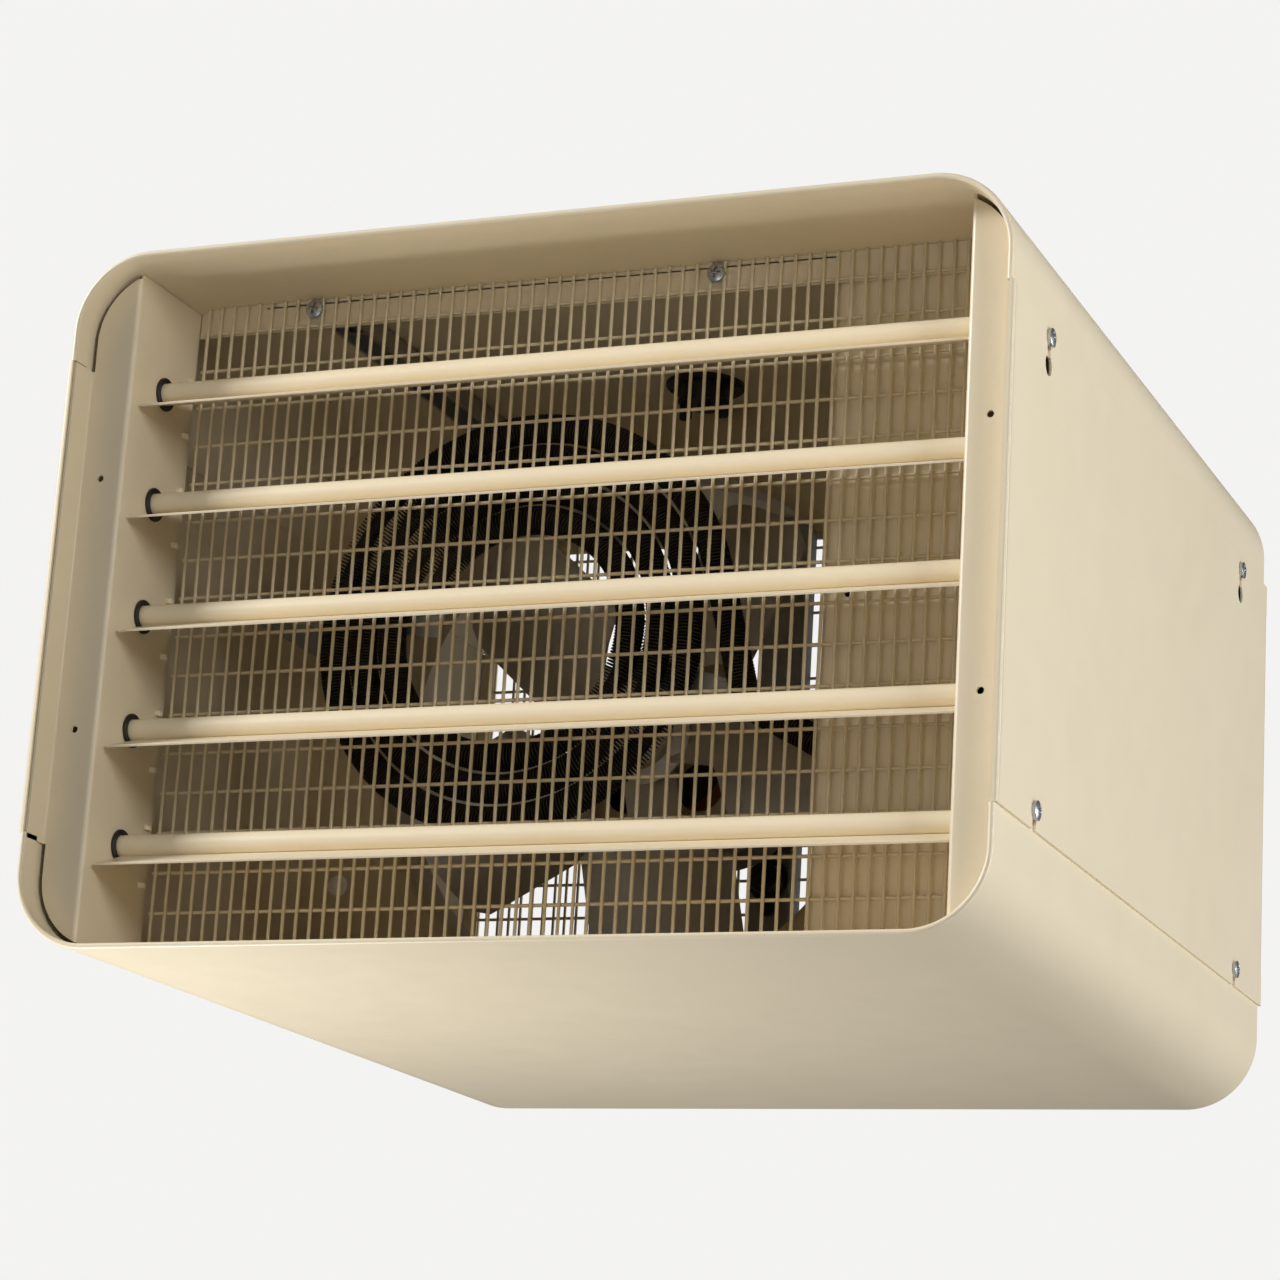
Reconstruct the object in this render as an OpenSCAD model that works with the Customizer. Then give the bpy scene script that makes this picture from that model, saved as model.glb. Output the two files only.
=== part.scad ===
// Ceiling mounted fan heater: steel case, adjustable louvers, a finned heating coil and an axial fan.
// Origin: centre of the four ceiling mounting holes, on the top face. +Z is up, the air leaves along -Y.
// Inside the modules, Y counts back from the front edge and Z counts from the middle of the case.

/* [Case] */
// Width across the two side panels
case_w = 425; // [415:1:440]
// Height of the case
case_h = 306; // [300:1:316]
// Depth of the case, front edge to rear face
case_d = 432; // [425:1:460]
// Outside radius of the four long corners
corner_r = 34; // [28:1:38]
// Thickness of the case sheet
sheet_t = 1.2; // [0.8:0.1:2]
// Distance of the shells' side edges beyond the panel screws
seam_inset = 7; // [6:0.5:9]
// Width of the rear flange of the shells
rear_flange = 9; // [6:0.5:12]

/* [Side panels] */
// Thickness of a side panel
panel_t = 1.2; // [0.8:0.1:2]
// Distance of a side panel's top edge below the top of the case
panel_drop = 47.5; // [41:0.5:53]
// Distance of a side panel's bottom edge above the bottom of the case
panel_rise = 50; // [43:0.5:53]
// Width of the front fold over the shell edge
fold_w = 2.4; // [2:0.1:3.4]
// Distance of the front panel screws from the front edge
panel_screw_front = 48.5; // [40:0.5:60]
// Distance of the rear panel screws from the rear face
panel_screw_back = 55; // [32:1:82]
// Distance of the upper panel screws below the panel's top edge
panel_screw_top = 7.5; // [6.5:0.5:11.5]
// Distance of the lower panel screws above the panel's bottom edge
panel_screw_low = 7.5; // [6:0.5:11]
// Radius of the round end of a keyhole
keyhole_r = 4.5; // [4.2:0.1:5.5]
// Length of a keyhole, screw to round end
keyhole_len = 11.4; // [9:0.1:14]

/* [Screws] */
// Radius of a sheet metal screw's shank
screw_r = 2.05; // [1.8:0.05:2.3]
// Radius of a pan head
head_r = 4; // [3.5:0.1:4.5]
// Height of a pan head
head_h = 2.4; // [2:0.1:3]
// Length of a screw's shank under its head
screw_len = 8; // [6:0.5:10]
// Clearance around a screw in a slot
slot_gap = 0.25; // [0.1:0.05:0.6]

/* [Ceiling mounts] */
// Distance of the mounting holes from the outside of the side panels
mount_side = 90.5; // [87.5:0.5:92.5]
// Distance of the mounting holes from the front and the rear face
mount_end = 90; // [71:1:116]
// Radius of the mounting thread
mount_r = 4; // [3:0.5:5]
// Width of a hanger rail
rail_w = 15; // [14:0.5:15.5]
// Depth of a hanger rail
rail_h = 10; // [8:0.5:14]
// Thickness of a hanger rail
rail_t = 1.5; // [1:0.1:2]
// Height of a weld nut
nut_h = 6; // [4:0.5:8]
// Distance across a weld nut
nut_w = 11.5; // [10:0.5:11.5]

/* [Louvers] */
// Height from one louver to the next
louver_pitch = 50.8; // [49:0.1:54]
// Height of the middle louver above the middle of the case
louver_mid = 1.1; // [-2:0.1:3]
// Distance of the pivots from the front edge
pivot_y = 43.2; // [42:0.1:44]
// Downward tilt of the blades as delivered
louver_tilt = 19.5; // [0:0.5:45]
// Reach of a blade in front of its pivot
blade_front = 25; // [20:0.5:26]
// Reach of a blade behind its pivot
blade_rear = 18.5; // [15:0.5:20]
// Thickness of a blade
blade_t = 1; // [0.8:0.1:1.4]
// Outside radius of the rolled pivot tube
tube_r = 4.8; // [4:0.1:5.2]
// Wall of the rolled pivot tube
tube_wall = 1; // [0.8:0.1:1.4]
// Running clearance of a pivot in its bushing
pivot_gap = 0.05; // [0.02:0.01:0.1]
// Radius of a bushing's flange
bushing_flange_r = 7.4; // [7:0.1:8]
// Thickness of a bushing's flange
bushing_flange_t = 1.4; // [1:0.1:1.8]
// Wall of a bushing
bushing_wall = 1.1; // [0.9:0.1:1.3]
// Length of a bushing behind the bracket
bushing_tail = 2.5; // [2:0.1:3.5]
// Gap between a blade's end and its bushing
blade_gap = 0.6; // [0.4:0.1:1]

/* [Louver brackets] */
// Distance of a bracket's inner face from the outside of the side panel
bracket_inset = 23.5; // [22.5:0.5:25.5]
// Thickness of a bracket
bracket_t = 1.2; // [1:0.1:1.6]
// Distance of the front flange from the front edge
bracket_front = 15; // [14:0.5:16]
// Length of the bracket wall behind its flange
bracket_depth = 53.5; // [53:0.5:54]
// Distance of the lip's ends from the top and the bottom of the case
lip_inset = 48; // [45:0.5:55]
// Gap between the bracket's curved corners and the shell
corner_gap = 2.2; // [1:0.1:3]
// Radius of the holes in the front flange
flange_hole_r = 1.5; // [1:0.1:2]
// Height of the flange holes above and below the middle
flange_hole_z = 55.7; // [45:0.1:60]
// Radius of a pressed stop next to a louver
stop_r = 2.4; // [2:0.1:3]
// Distance of the pressed stops behind the pivots
stop_back = 20.5; // [20:0.1:21.5]

/* [Grilles] */
// Distance from one upright wire to the next
wire_pitch_x = 6.35; // [6.2:0.01:6.45]
// Distance from one level wire to the next
wire_pitch_z = 17.57; // [17:0.01:17.7]
// Number of upright wires of the front grille
grille_n = 59; // [40:1:59]
// Number of level wires of a grille
grille_rows = 17; // [12:1:17]
// Thickness of a wire
wire_d = 1.6; // [1.2:0.1:1.8]
// Gap between the ends of the wires and the shells
wire_gap = 0.3; // [0.2:0.1:1]
// Depth that crossing wires sink into each other at a weld
weld_sink = 0.4; // [0.2:0.1:0.6]
// Distance of the front grille from the front edge
grille_y = 66.2; // [66:0.1:67]
// Height of the level wires' middle row above the middle of the case
grille_mid = -1.4; // [-2:0.1:0]
// Height of the rails that carry the front grille
grille_rail_h = 13.8; // [12:0.1:15]
// Number of upright wires of the rear guard
guard_n = 50; // [40:1:50]
// Distance of the rear guard's first wire from the outside of the left panel
guard_inset = 9.3; // [8.5:0.1:10]

/* [Air chamber] */
// Width of the control compartment, to the outside of the right panel
control_w = 99.5; // [94.5:1:106.5]
// Thickness of the inner sheets
inner_t = 1.2; // [1:0.1:1.6]
// Gap between the grille rails and the partition's front
partition_gap = 0.8; // [0.4:0.1:2]
// Distance of the fan plate from the rear face
fan_plate_back = 186; // [180:1:192]
// Distance of the fan axis from the middle of the air chamber, to the right
fan_offset = 0.55; // [-3.45:0.5:4.55]
// Inside radius of the fan ring
ring_r = 127; // [125:0.5:128]
// Radius of the ring's flared lip
flare_r = 9; // [7:0.5:11]
// Depth of the fan ring
ring_depth = 38; // [34:1:44]

/* [Heating coil] */
// Number of half turns of the coil
coil_halves = 7; // [5:2:7]
// Radius of the largest half turn's centre line
coil_r = 92.8; // [90:0.1:96]
// Distance from one turn to the next
coil_pitch = 14.2; // [13.6:0.1:15]
// Radius of the fins
fin_r = 6.6; // [6:0.1:6.7]
// Radius of the bare sheath
sheath_r = 3.3; // [2.5:0.1:3.6]
// Distance of the coil from the front edge
coil_y = 125; // [115:1:140]
// Distance of the coil's centre from the fan axis, to the right
coil_side = 3; // [0:1:6]
// Height of the coil's centre above the middle
coil_z = 11; // [8:0.5:13]
// Angle at which the outer lead leaves the coil
lead_angle = 15; // [10:1:20]
// Straight length of the outer lead below the coil
lead_drop = 56; // [48:1:60]
// Radius of the outer lead's bend
lead_bend = 18; // [14:1:22]
// Angle of the outer lead's bend
lead_turn = 46; // [40:1:52]
// Distance from the end of the fins to the partition
fin_stop = 12; // [10:0.5:16]
// Radius of the bend of the bare sheath
sheath_bend = 14; // [8:0.5:15]
// Length of the collars between the lengths of the coil
collar_len = 3; // [2:0.5:5]
// Height of the collars above the fins
collar_h = 0.2; // [0.1:0.05:0.3]
// Angle at which the innermost half turn ends
inner_turn = 153; // [150:1:156]
// Distance of the inner lead behind the coil
lead_back = 22; // [16:1:40]
// Length of the leads beyond the partition
lead_out = 14; // [10:1:20]
// Wall of a ceramic bushing
ceramic_wall = 2.7; // [2:0.1:3.5]
// Width of a coil support
support_w = 12; // [8:1:16]
// Thickness of a coil support
support_t = 1.5; // [1:0.1:2]

/* [Fan and motor] */
// Radius of the fan
fan_r = 122; // [115:1:124]
// Number of fan blades
fan_blades = 5; // [4:1:6]
// Distance of the fan's middle plane behind the front of the fan plate
fan_behind = 28; // [26:1:30]
// Length of a fan blade's chord
blade_chord = 72; // [60:1:80]
// Pitch angle of the fan blades
blade_pitch = 27; // [20:1:30]
// Radius of the fan blades' curve
blade_curve = 75; // [65:1:120]
// Thickness of the fan blades
fan_t = 1.4; // [1:0.1:2]
// Radius of the fan hub
hub_r = 17; // [14:0.5:20]
// Length of the fan hub
hub_len = 24; // [20:1:26]
// Radius of the motor shaft
shaft_r = 4; // [3:0.5:5]
// Radius of the motor
motor_r = 42; // [40:0.5:46]
// Distance of the motor bracket behind the front of the fan plate
bracket_behind = 56; // [54:1:60]
// Width of the motor bracket
bracket_w = 60; // [50:1:70]
// Thickness of the motor bracket
motor_plate_t = 2; // [1.5:0.1:3]
// Radius of the motor bracket's round head
bracket_head_r = 52; // [48:1:60]
// Radius of the round vents in the motor's ends
vent_r = 12; // [9:0.5:12]
// Distance of the vents from the motor's axis
vent_circle = 26; // [24:0.5:27]
// Length of a motor end bell
bell_len = 25; // [24:1:28]
// Wall of a motor end bell
bell_wall = 2; // [1.5:0.1:3]
// Length of the stator
stator_len = 30; // [24:1:34]
// Inside radius of the stator
stator_bore_r = 23; // [20:0.5:24]
// Air gap between the stator and the rotor
air_gap = 0.5; // [0.3:0.1:1]
// Outside radius of a bearing
bearing_r = 8; // [7:0.5:10]
// Length of a bearing
bearing_len = 10; // [8:1:12]
// Running clearance of the shaft in its bearings
shaft_gap = 0.05; // [0.02:0.01:0.1]
// Radius of a motor bolt
bolt_r = 2; // [1.5:0.1:2.5]

/* [Controls] */
// Radius of the fan switch's base
switch_r = 11; // [9:0.5:12]
// Radius of the fan switch's cap
switch_cap_r = 8; // [6:0.5:8.5]
// Depth of the fan switch, base to cap
switch_h = 11; // [8:0.5:16]
// Distance of the fan switch below the middle
switch_down = 40; // [30:1:60]
// Distance of the motor bracket's plate from the fan axis, to the left
bracket_side = 5; // [0:0.5:8]
// Width of the guard brace
brace_w = 24; // [20:1:30]
// Depth of the guard brace
brace_d = 12; // [8:1:14]
// Radius of the high limit's plate
limit_r = 18.5; // [16:0.5:22]
// Radius of the high limit's body
limit_body_r = 12.5; // [10:0.5:14]
// Size of the contactor along, up and out
contactor = [62, 56, 34]; // [30:1:80]
// Travel of the contactor's armature
armature_travel = 3; // [2:0.5:4]
// Size of the transformer along, up and out
transformer = [50, 60, 42]; // [30:1:80]
// Size of the terminal block along, up and out
terminal_block = [66, 48, 22]; // [30:1:80]
// Radius of the cable inlet
inlet_r = 11.1; // [9:0.1:14]
// Wall of the cable bushing
inlet_wall = 2.1; // [1.5:0.1:3]

/* [Hidden] */
$fn = 64;
almond = [0.86, 0.80, 0.67];
zinc = [0.72, 0.73, 0.74];
galvanised = [0.66, 0.67, 0.66];
black_plastic = [0.07, 0.07, 0.07];
dark_steel = [0.16, 0.15, 0.14];
cut = 1;

louver_n = 5;
seat_gap = 0.3;
tab_w = 6;
tab_t = 0.8;
tab_len = 8;
stem_r = 4;
stem_gap = 0.4;
stem_depth = 18;
stem_hold = 14;
armature_plate = [7, 40, 24];
pocket = [8, 12, 8];
pocket_at = [22, 20];
contactor_ahead = 126;
contactor_up = 42;
transformer_ahead = 28;
transformer_down = 40;
transformer_overhang = 8;
terminal_behind = 72;
terminal_down = 46;
barrier_t = 2;
barrier_h = 7;
ground_behind = 106;
ground_down = 96;
limit_side = 46;
limit_ahead = 33;
inlet_side = 49;
inlet_up = 39.8;
brace_side = 13;
plug_side = 22.5;
plug_down = 75;
limit_plate_t = 2;
limit_body_h = 10;
limit_button_r = 3.2;
limit_button_h = 3;
ceramic_front = 3;
ceramic_rear = 4;
ceramic_lip = 1;

shell_w = case_w - 2 * panel_t;
inside_x = shell_w / 2 - sheet_t;
inside_z = case_h / 2 - sheet_t;
inside_r = corner_r - sheet_t;
rear_inner = case_d - sheet_t;
mount_x = case_w - 2 * mount_side;
mount_y = case_d - 2 * mount_end;
panel_top = case_h / 2 - panel_drop;
panel_bottom = case_h / 2 - panel_rise;
panel_screw_rear = case_d - panel_screw_back;
panel_screw_up = panel_top - panel_screw_top;
panel_screw_down = panel_bottom - panel_screw_low;
top_edge = panel_screw_up - seam_inset;
bottom_edge = panel_screw_down - seam_inset;
wall_x = case_w / 2 - bracket_inset;
lip_half = case_h / 2 - lip_inset;
partition_x = case_w / 2 - control_w;
fan_x = (inside_x - partition_x) / 2 - fan_offset;
coil_x = fan_x - coil_side;
fan_plate_y = case_d - fan_plate_back;
fan_y = fan_plate_y + fan_behind;
bracket_y = fan_plate_y + bracket_behind;
guard_left = case_w / 2 - guard_inset;
grille_columns = min(grille_n, 2 * floor((wall_x - 2 * wire_d) / wire_pitch_x) + 1);
guard_columns = min(guard_n, floor((partition_x + guard_left - 2 * wire_d) / wire_pitch_x) + 1);
rows = min(grille_rows, 2 * floor((inside_z + grille_mid - 2 * wire_d) / wire_pitch_z) + 1);
bushing_x = wall_x - bushing_flange_t;
blade_half = bushing_x - blade_gap;
tube_half = wall_x + bracket_t + bushing_tail;
bore_r = tube_r + pivot_gap;
bushing_r = bore_r + bushing_wall;
grille_mid_y = grille_y + wire_d - weld_sink;
grille_back = grille_mid_y + wire_d;
guard_y = rear_inner - 2 * wire_d + weld_sink;
rail_z = inside_z - grille_rail_h;
grille_screw_len = grille_back + inner_t - grille_y;
partition_y = grille_back + inner_t + partition_gap;
bell_front_y = bracket_y + motor_plate_t;
stator_y = bell_front_y + bell_len;
bell_rear_y = stator_y + stator_len;
motor_end = bell_rear_y + bell_len;
post_r = bolt_r + 2;
bolt_circle = motor_r - bell_wall - bolt_r - 1;
winding_r = bolt_circle - post_r - 1;
rotor_r = stator_bore_r - air_gap;
boss_len = bearing_len + bell_wall;
brace_x = brace_side - fan_x;
brace_y = guard_y - brace_d;
grille_screw_columns = [-20.5, 9.5];
guard_screw_columns = [8.5, guard_columns - 6.5];
plug_at = [plug_side - case_w / 2, -plug_down];
plug_r = 5.2;
control_x = partition_x + inner_t;
contactor_at = [fan_plate_y - contactor_ahead, contactor_up];
transformer_at = [fan_plate_y - transformer_ahead, -transformer_down];
terminal_at = [fan_plate_y + terminal_behind, -terminal_down];
ground_at = [fan_plate_y + ground_behind, -ground_down];
limit_at = [limit_side - fan_x, fan_plate_y - limit_ahead];
inlet_at = [partition_x + inlet_side, inlet_up - inside_z];
stem_at = contactor_at + [contactor[0], contactor[1]] / 2;

// Moves local coordinates, counted from the front edge and the middle, into the part's own frame.
module place() {
    translate([0, -case_d / 2, -case_h / 2]) children();
}

// Turns a drawing of X and Z into a solid that runs back from y over a length.
module along_y(y, length) {
    translate([0, y + length, 0]) rotate([90, 0, 0]) linear_extrude(length) children();
}

// Round bar along Y.
module rod_y(x, y, z, r, length) {
    translate([x, y, z]) rotate([-90, 0, 0]) cylinder(r = r, h = length);
}

// Round bar along X.
module rod_x(x, y, z, r, length) {
    translate([x, y, z]) rotate([0, 90, 0]) cylinder(r = r, h = length);
}

// Rectangle with round corners.
module round_rect(w, h, r) {
    square([w, h - 2 * r], center = true);
    square([w - 2 * r, h], center = true);
    for (x = [-1, 1], z = [-1, 1])
        translate([x * (w / 2 - r), z * (h / 2 - r)]) circle(r);
}

// Inside outline of the case, shrunk by a gap.
module inside_outline(gap = 0) {
    round_rect(2 * (inside_x - gap), 2 * (inside_z - gap), inside_r - gap);
}

// Screw with a pan head; the head stands along the module's own +Z.
module pan_screw(length = screw_len) {
    translate([0, 0, -length]) cylinder(r = screw_r, h = length);
    intersection() {
        cylinder(r = head_r, h = head_h);
        translate([0, 0, head_h - 1.6 * head_r]) sphere(1.6 * head_r);
    }
}

module panel_screw_places() {
    for (side = [-1, 1], y = [panel_screw_front, panel_screw_rear])
        for (z = [panel_screw_up, -panel_screw_down])
            translate([side * case_w / 2, y, z]) rotate([0, side * 90, 0]) children();
}

module mount_places() {
    for (x = [-1, 1], y = [-1, 1])
        translate([x * mount_x / 2, case_d / 2 + y * mount_y / 2, 0]) children();
}

module grille_screw_places() {
    for (column = grille_screw_columns, side = [-1, 1])
        translate([column * wire_pitch_x, grille_y, side * (inside_z - grille_rail_h / 2 + 1)])
            rotate([90, 0, 0]) children();
}

module guard_screw_places() {
    for (column = guard_screw_columns, side = [-1, 1])
        translate([-guard_left + column * wire_pitch_x, case_d, side * (inside_z - rear_flange / 2)]) rotate([-90, 0, 0]) children();
}

// One of the two U-shaped shells; side is 1 for the top and -1 for the bottom.
module shell(side) {
    edge = side > 0 ? top_edge : bottom_edge;
    difference() {
        union() {
            along_y(0, case_d) difference() {
                round_rect(shell_w, case_h, corner_r);
                inside_outline();
                translate([-case_w, side > 0 ? -case_h : -edge]) square([2 * case_w, case_h + edge]);
            }
            along_y(rear_inner, sheet_t) difference() {
                round_rect(shell_w, case_h, corner_r);
                round_rect(shell_w - 2 * rear_flange, case_h - 2 * rear_flange, corner_r - rear_flange);
                translate([-case_w, side > 0 ? -case_h : -edge]) square([2 * case_w, case_h + edge]);
            }
        }
        for (x = [-1, 1])
            translate([x > 0 ? inside_x - cut : -case_w, -cut, -panel_bottom])
                cube([case_w, panel_t + cut + seat_gap, panel_bottom + panel_top]);
        panel_screw_places() translate([0, 0, -screw_len - cut]) cylinder(r = screw_r, h = screw_len + 2 * cut);
        guard_screw_places() translate([0, 0, -screw_len]) cylinder(r = screw_r, h = screw_len + cut);
        mount_places() translate([0, 0, inside_z - cut]) cylinder(r = mount_r, h = sheet_t + 2 * cut);
    }
}

module top_shell() {
    color(almond) place() shell(1);
}

module bottom_shell() {
    color(almond) place() shell(-1);
}

// Outline of a side panel with its keyholes, drawn as Y and Z.
module panel_outline() {
    slot_r = screw_r + slot_gap;
    difference() {
        translate([0, -panel_bottom]) square([case_d, panel_bottom + panel_top]);
        for (y = [panel_screw_front, panel_screw_rear]) {
            translate([y, panel_screw_up]) circle(slot_r);
            translate([y - slot_r, panel_screw_up - keyhole_len]) square([2 * slot_r, keyhole_len]);
            translate([y, panel_screw_up - keyhole_len]) circle(keyhole_r);
            translate([y, -panel_screw_down]) circle(slot_r);
            translate([y - slot_r, -panel_bottom - cut])
                square([2 * slot_r, panel_bottom - panel_screw_down + cut]);
        }
    }
}

module side_panel(side) {
    x = side > 0 ? case_w / 2 - panel_t : -case_w / 2;
    fold_x = side > 0 ? case_w / 2 - fold_w : -case_w / 2;
    translate([x, 0, 0]) rotate([90, 0, 90]) linear_extrude(panel_t) panel_outline();
    translate([fold_x, 0, -panel_bottom]) cube([fold_w, panel_t, panel_bottom + panel_top]);
    translate([side > 0 ? x - rear_flange : x, rear_inner, seat_gap - bottom_edge])
        cube([panel_t + rear_flange, sheet_t, top_edge + bottom_edge - 2 * seat_gap]);
}

module side_panel_left() {
    color(almond) place() side_panel(-1);
}

module side_panel_right() {
    color(almond) place() side_panel(1);
}

module panel_screws() {
    color(zinc) place() panel_screw_places() pan_screw();
}

// Channel under the top shell that takes the ceiling bolts.
module hanger_rail(side) {
    x = side * mount_x / 2;
    front = partition_y + inner_t;
    length = guard_y - brace_d - front;
    difference() {
        translate([x - rail_w / 2, front, inside_z - rail_h]) cube([rail_w, length, rail_h]);
        translate([x - rail_w / 2 + rail_t, front - cut, inside_z - rail_h - cut])
            cube([rail_w - 2 * rail_t, length + 2 * cut, rail_h - rail_t + cut]);
        mount_places() translate([0, 0, inside_z - rail_h]) cylinder(r = mount_r, h = rail_h + cut);
    }
}

module hanger_rail_left() {
    color(galvanised) place() hanger_rail(-1);
}

module hanger_rail_right() {
    color(galvanised) place() hanger_rail(1);
}

module hanger_nuts() {
    color(zinc) place() mount_places() translate([0, 0, inside_z - rail_t - nut_h]) difference() {
        translate([-nut_w / 2, -nut_w / 2, 0]) cube([nut_w, nut_w, nut_h]);
        translate([0, 0, -cut]) cylinder(r = mount_r, h = nut_h + 2 * cut);
    }
}

// Angle bracket that carries one end of every louver.
module louver_bracket(side) {
    mirror([side < 0 ? 1 : 0, 0, 0]) difference() {
        union() {
            along_y(bracket_front, bracket_depth) intersection() {
                inside_outline();
                translate([wall_x, -case_h]) square([bracket_t, 2 * case_h]);
            }
            along_y(bracket_front, bracket_t) intersection() {
                inside_outline(corner_gap);
                translate([wall_x, -case_h]) square([case_w, 2 * case_h]);
            }
            translate([wall_x, bracket_front, -lip_half])
                cube([inside_x - wall_x, bracket_t, 2 * lip_half]);
            translate([inside_x - bracket_t, panel_t + seat_gap, -lip_half])
                cube([bracket_t, bracket_front - panel_t, 2 * lip_half]);
            for (z = louver_heights(), step = [-1, 1])
                translate([wall_x, pivot_y + stop_back, z + step * louver_pitch / 4]) louver_stop();
        }
        for (z = louver_heights())
            rod_x(wall_x - cut, pivot_y, z, bushing_r, bracket_t + 2 * cut);
        for (z = [-1, 1])
            rod_y((wall_x + inside_x) / 2, bracket_front - cut, z * flange_hole_z,
                  flange_hole_r, bracket_t + 2 * cut);
    }
}

// Half round stop pressed out of the bracket wall.
module louver_stop() {
    intersection() {
        translate([0, 0, -stop_r / 2]) cylinder(r = stop_r, h = stop_r);
        translate([-2 * stop_r, -stop_r, -stop_r]) cube(2 * stop_r);
    }
}

function louver_heights() =
    [for (i = [0:louver_n - 1]) louver_mid + ((louver_n - 1) / 2 - i) * louver_pitch];

module louver_bracket_left() {
    color(almond) place() louver_bracket(-1);
}

module louver_bracket_right() {
    color(almond) place() louver_bracket(1);
}

module louver_bushings() {
    color(black_plastic) place() for (side = [-1, 1], z = louver_heights())
        mirror([side < 0 ? 1 : 0, 0, 0]) difference() {
            union() {
                rod_x(bushing_x, pivot_y, z, bushing_flange_r, bushing_flange_t);
                rod_x(wall_x, pivot_y, z, bushing_r, bracket_t + bushing_tail);
            }
            rod_x(bushing_x - cut, pivot_y, z, bore_r, tube_half - bushing_x + 2 * cut);
        }
}

// Outline of a blade seen along +X: forward is negative, up is positive, the pivot is at 0.
module blade_outline() {
    translate([-blade_front, -tube_r]) square([blade_front + blade_rear, blade_t]);
}

module louver(number) {
    z = louver_mid + ((louver_n - 1) / 2 - (number - 1)) * louver_pitch;
    color(almond) place() if (number <= louver_n) translate([0, pivot_y, z]) rotate([louver_tilt, 0, 0])
        difference() {
            union() {
                difference() {
                    translate([-blade_half, 0, 0]) rotate([90, 0, 90]) linear_extrude(2 * blade_half)
                        blade_outline();
                    for (side = [-1, 1])
                        translate([side > 0 ? blade_half - 2 * stop_r : -blade_half - cut, blade_rear / 2, -case_h / 2])
                            cube([2 * stop_r + cut, blade_rear, case_h]);
                }
                rod_x(-tube_half, 0, 0, tube_r, 2 * tube_half);
            }
            rod_x(-tube_half - cut, 0, 0, tube_r - tube_wall, 2 * (tube_half + cut));
        }
}

module louver_1() { louver(1); }
module louver_2() { louver(2); }
module louver_3() { louver(3); }
module louver_4() { louver(4); }
module louver_5() { louver(5); }

// Height of the inside of the shells above the middle, at a distance from the middle.
function reach_z(x) =
    abs(x) < inside_x - inside_r ? inside_z
    : inside_z - inside_r + sqrt(max(0, pow(inside_r, 2) - pow(abs(x) - inside_x + inside_r, 2)));

// Distance of the inside of the shells from the middle, at a height.
function reach_x(z) =
    abs(z) < inside_z - inside_r ? inside_x
    : inside_x - inside_r + sqrt(max(0, pow(inside_r, 2) - pow(abs(z) - inside_z + inside_r, 2)));

// Welded wire mesh: upright wires in front, level wires behind, sunk into each other.
module wire_mesh(first_x, columns) {
    last_x = first_x + (columns - 1) * wire_pitch_x;
    for (i = [0:columns - 1]) {
        x = first_x + i * wire_pitch_x;
        reach = reach_z(abs(x) + wire_d / 2) - wire_gap;
        translate([x - wire_d / 2, 0, -reach]) cube([wire_d, wire_d, 2 * reach]);
    }
    for (i = [0:rows - 1]) {
        z = grille_mid + (i - (rows - 1) / 2) * wire_pitch_z;
        reach = reach_x(abs(z) + wire_d / 2) - wire_gap;
        left = max(first_x - wire_pitch_x / 3, -reach);
        right = min(last_x + wire_pitch_x / 3, reach);
        translate([left, wire_d - weld_sink, z - wire_d / 2]) cube([right - left, wire_d, wire_d]);
    }
}

module front_grille() {
    color(almond) place() translate([0, grille_y, 0])
        wire_mesh(-(grille_columns - 1) / 2 * wire_pitch_x, grille_columns);
}

// Angle that carries the front grille, on the floor or the ceiling of the case.
module grille_rail(side) {
    flat = 20;
    mirror([0, 0, side < 0 ? 1 : 0]) difference() {
        union() {
            along_y(grille_back, inner_t) intersection() {
                inside_outline();
                translate([-wall_x, rail_z]) square([2 * wall_x, grille_rail_h]);
            }
            translate([-wall_x + inside_r, grille_back, inside_z - inner_t])
                cube([wall_x + partition_x - inside_r, flat, inner_t]);
        }
        grille_screw_places() translate([0, 0, -screw_len]) cylinder(r = screw_r, h = screw_len + cut);
        translate([-mount_x / 2 - rail_w / 2, partition_y + inner_t, inside_z - rail_h])
            cube([rail_w, flat, rail_h + cut]);
    }
}

module grille_rail_top() {
    color(almond) place() grille_rail(1);
}

module grille_rail_bottom() {
    color(almond) place() grille_rail(-1);
}

module grille_screws() {
    color(zinc) place() grille_screw_places() pan_screw(grille_screw_len);
}

// Channel that walls off the controls: front, side wall and rear.
module partition() {
    color(almond) place() difference() {
        union() {
            along_y(partition_y, inner_t) control_outline();
            along_y(rear_inner - inner_t, inner_t) control_outline();
            translate([partition_x, partition_y, -inside_z])
                cube([inner_t, rear_inner - partition_y, 2 * inside_z]);
        }
        for (at = lead_places())
            rod_x(partition_x - cut, at[0], at[1], sheath_r + ceramic_wall, inner_t + 2 * cut);
        rod_y(inlet_at[0], rear_inner - inner_t - cut, inlet_at[1], inlet_r, inner_t + 2 * cut);
        rod_y(partition_x + 11, partition_y - cut, 3, flange_hole_r, inner_t + 2 * cut);
        rod_x(partition_x - cut, ground_at[0], ground_at[1], screw_r, inner_t + 2 * cut);
        translate([mount_x / 2 - rail_w / 2 - seat_gap, partition_y + inner_t, inside_z - rail_h - seat_gap])
            cube([rail_w / 2, case_d - partition_y - rear_flange, rail_h + cut]);
    }
}

module control_outline() {
    intersection() {
        inside_outline();
        translate([partition_x, -case_h]) square([case_w, 2 * case_h]);
    }
}

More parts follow.
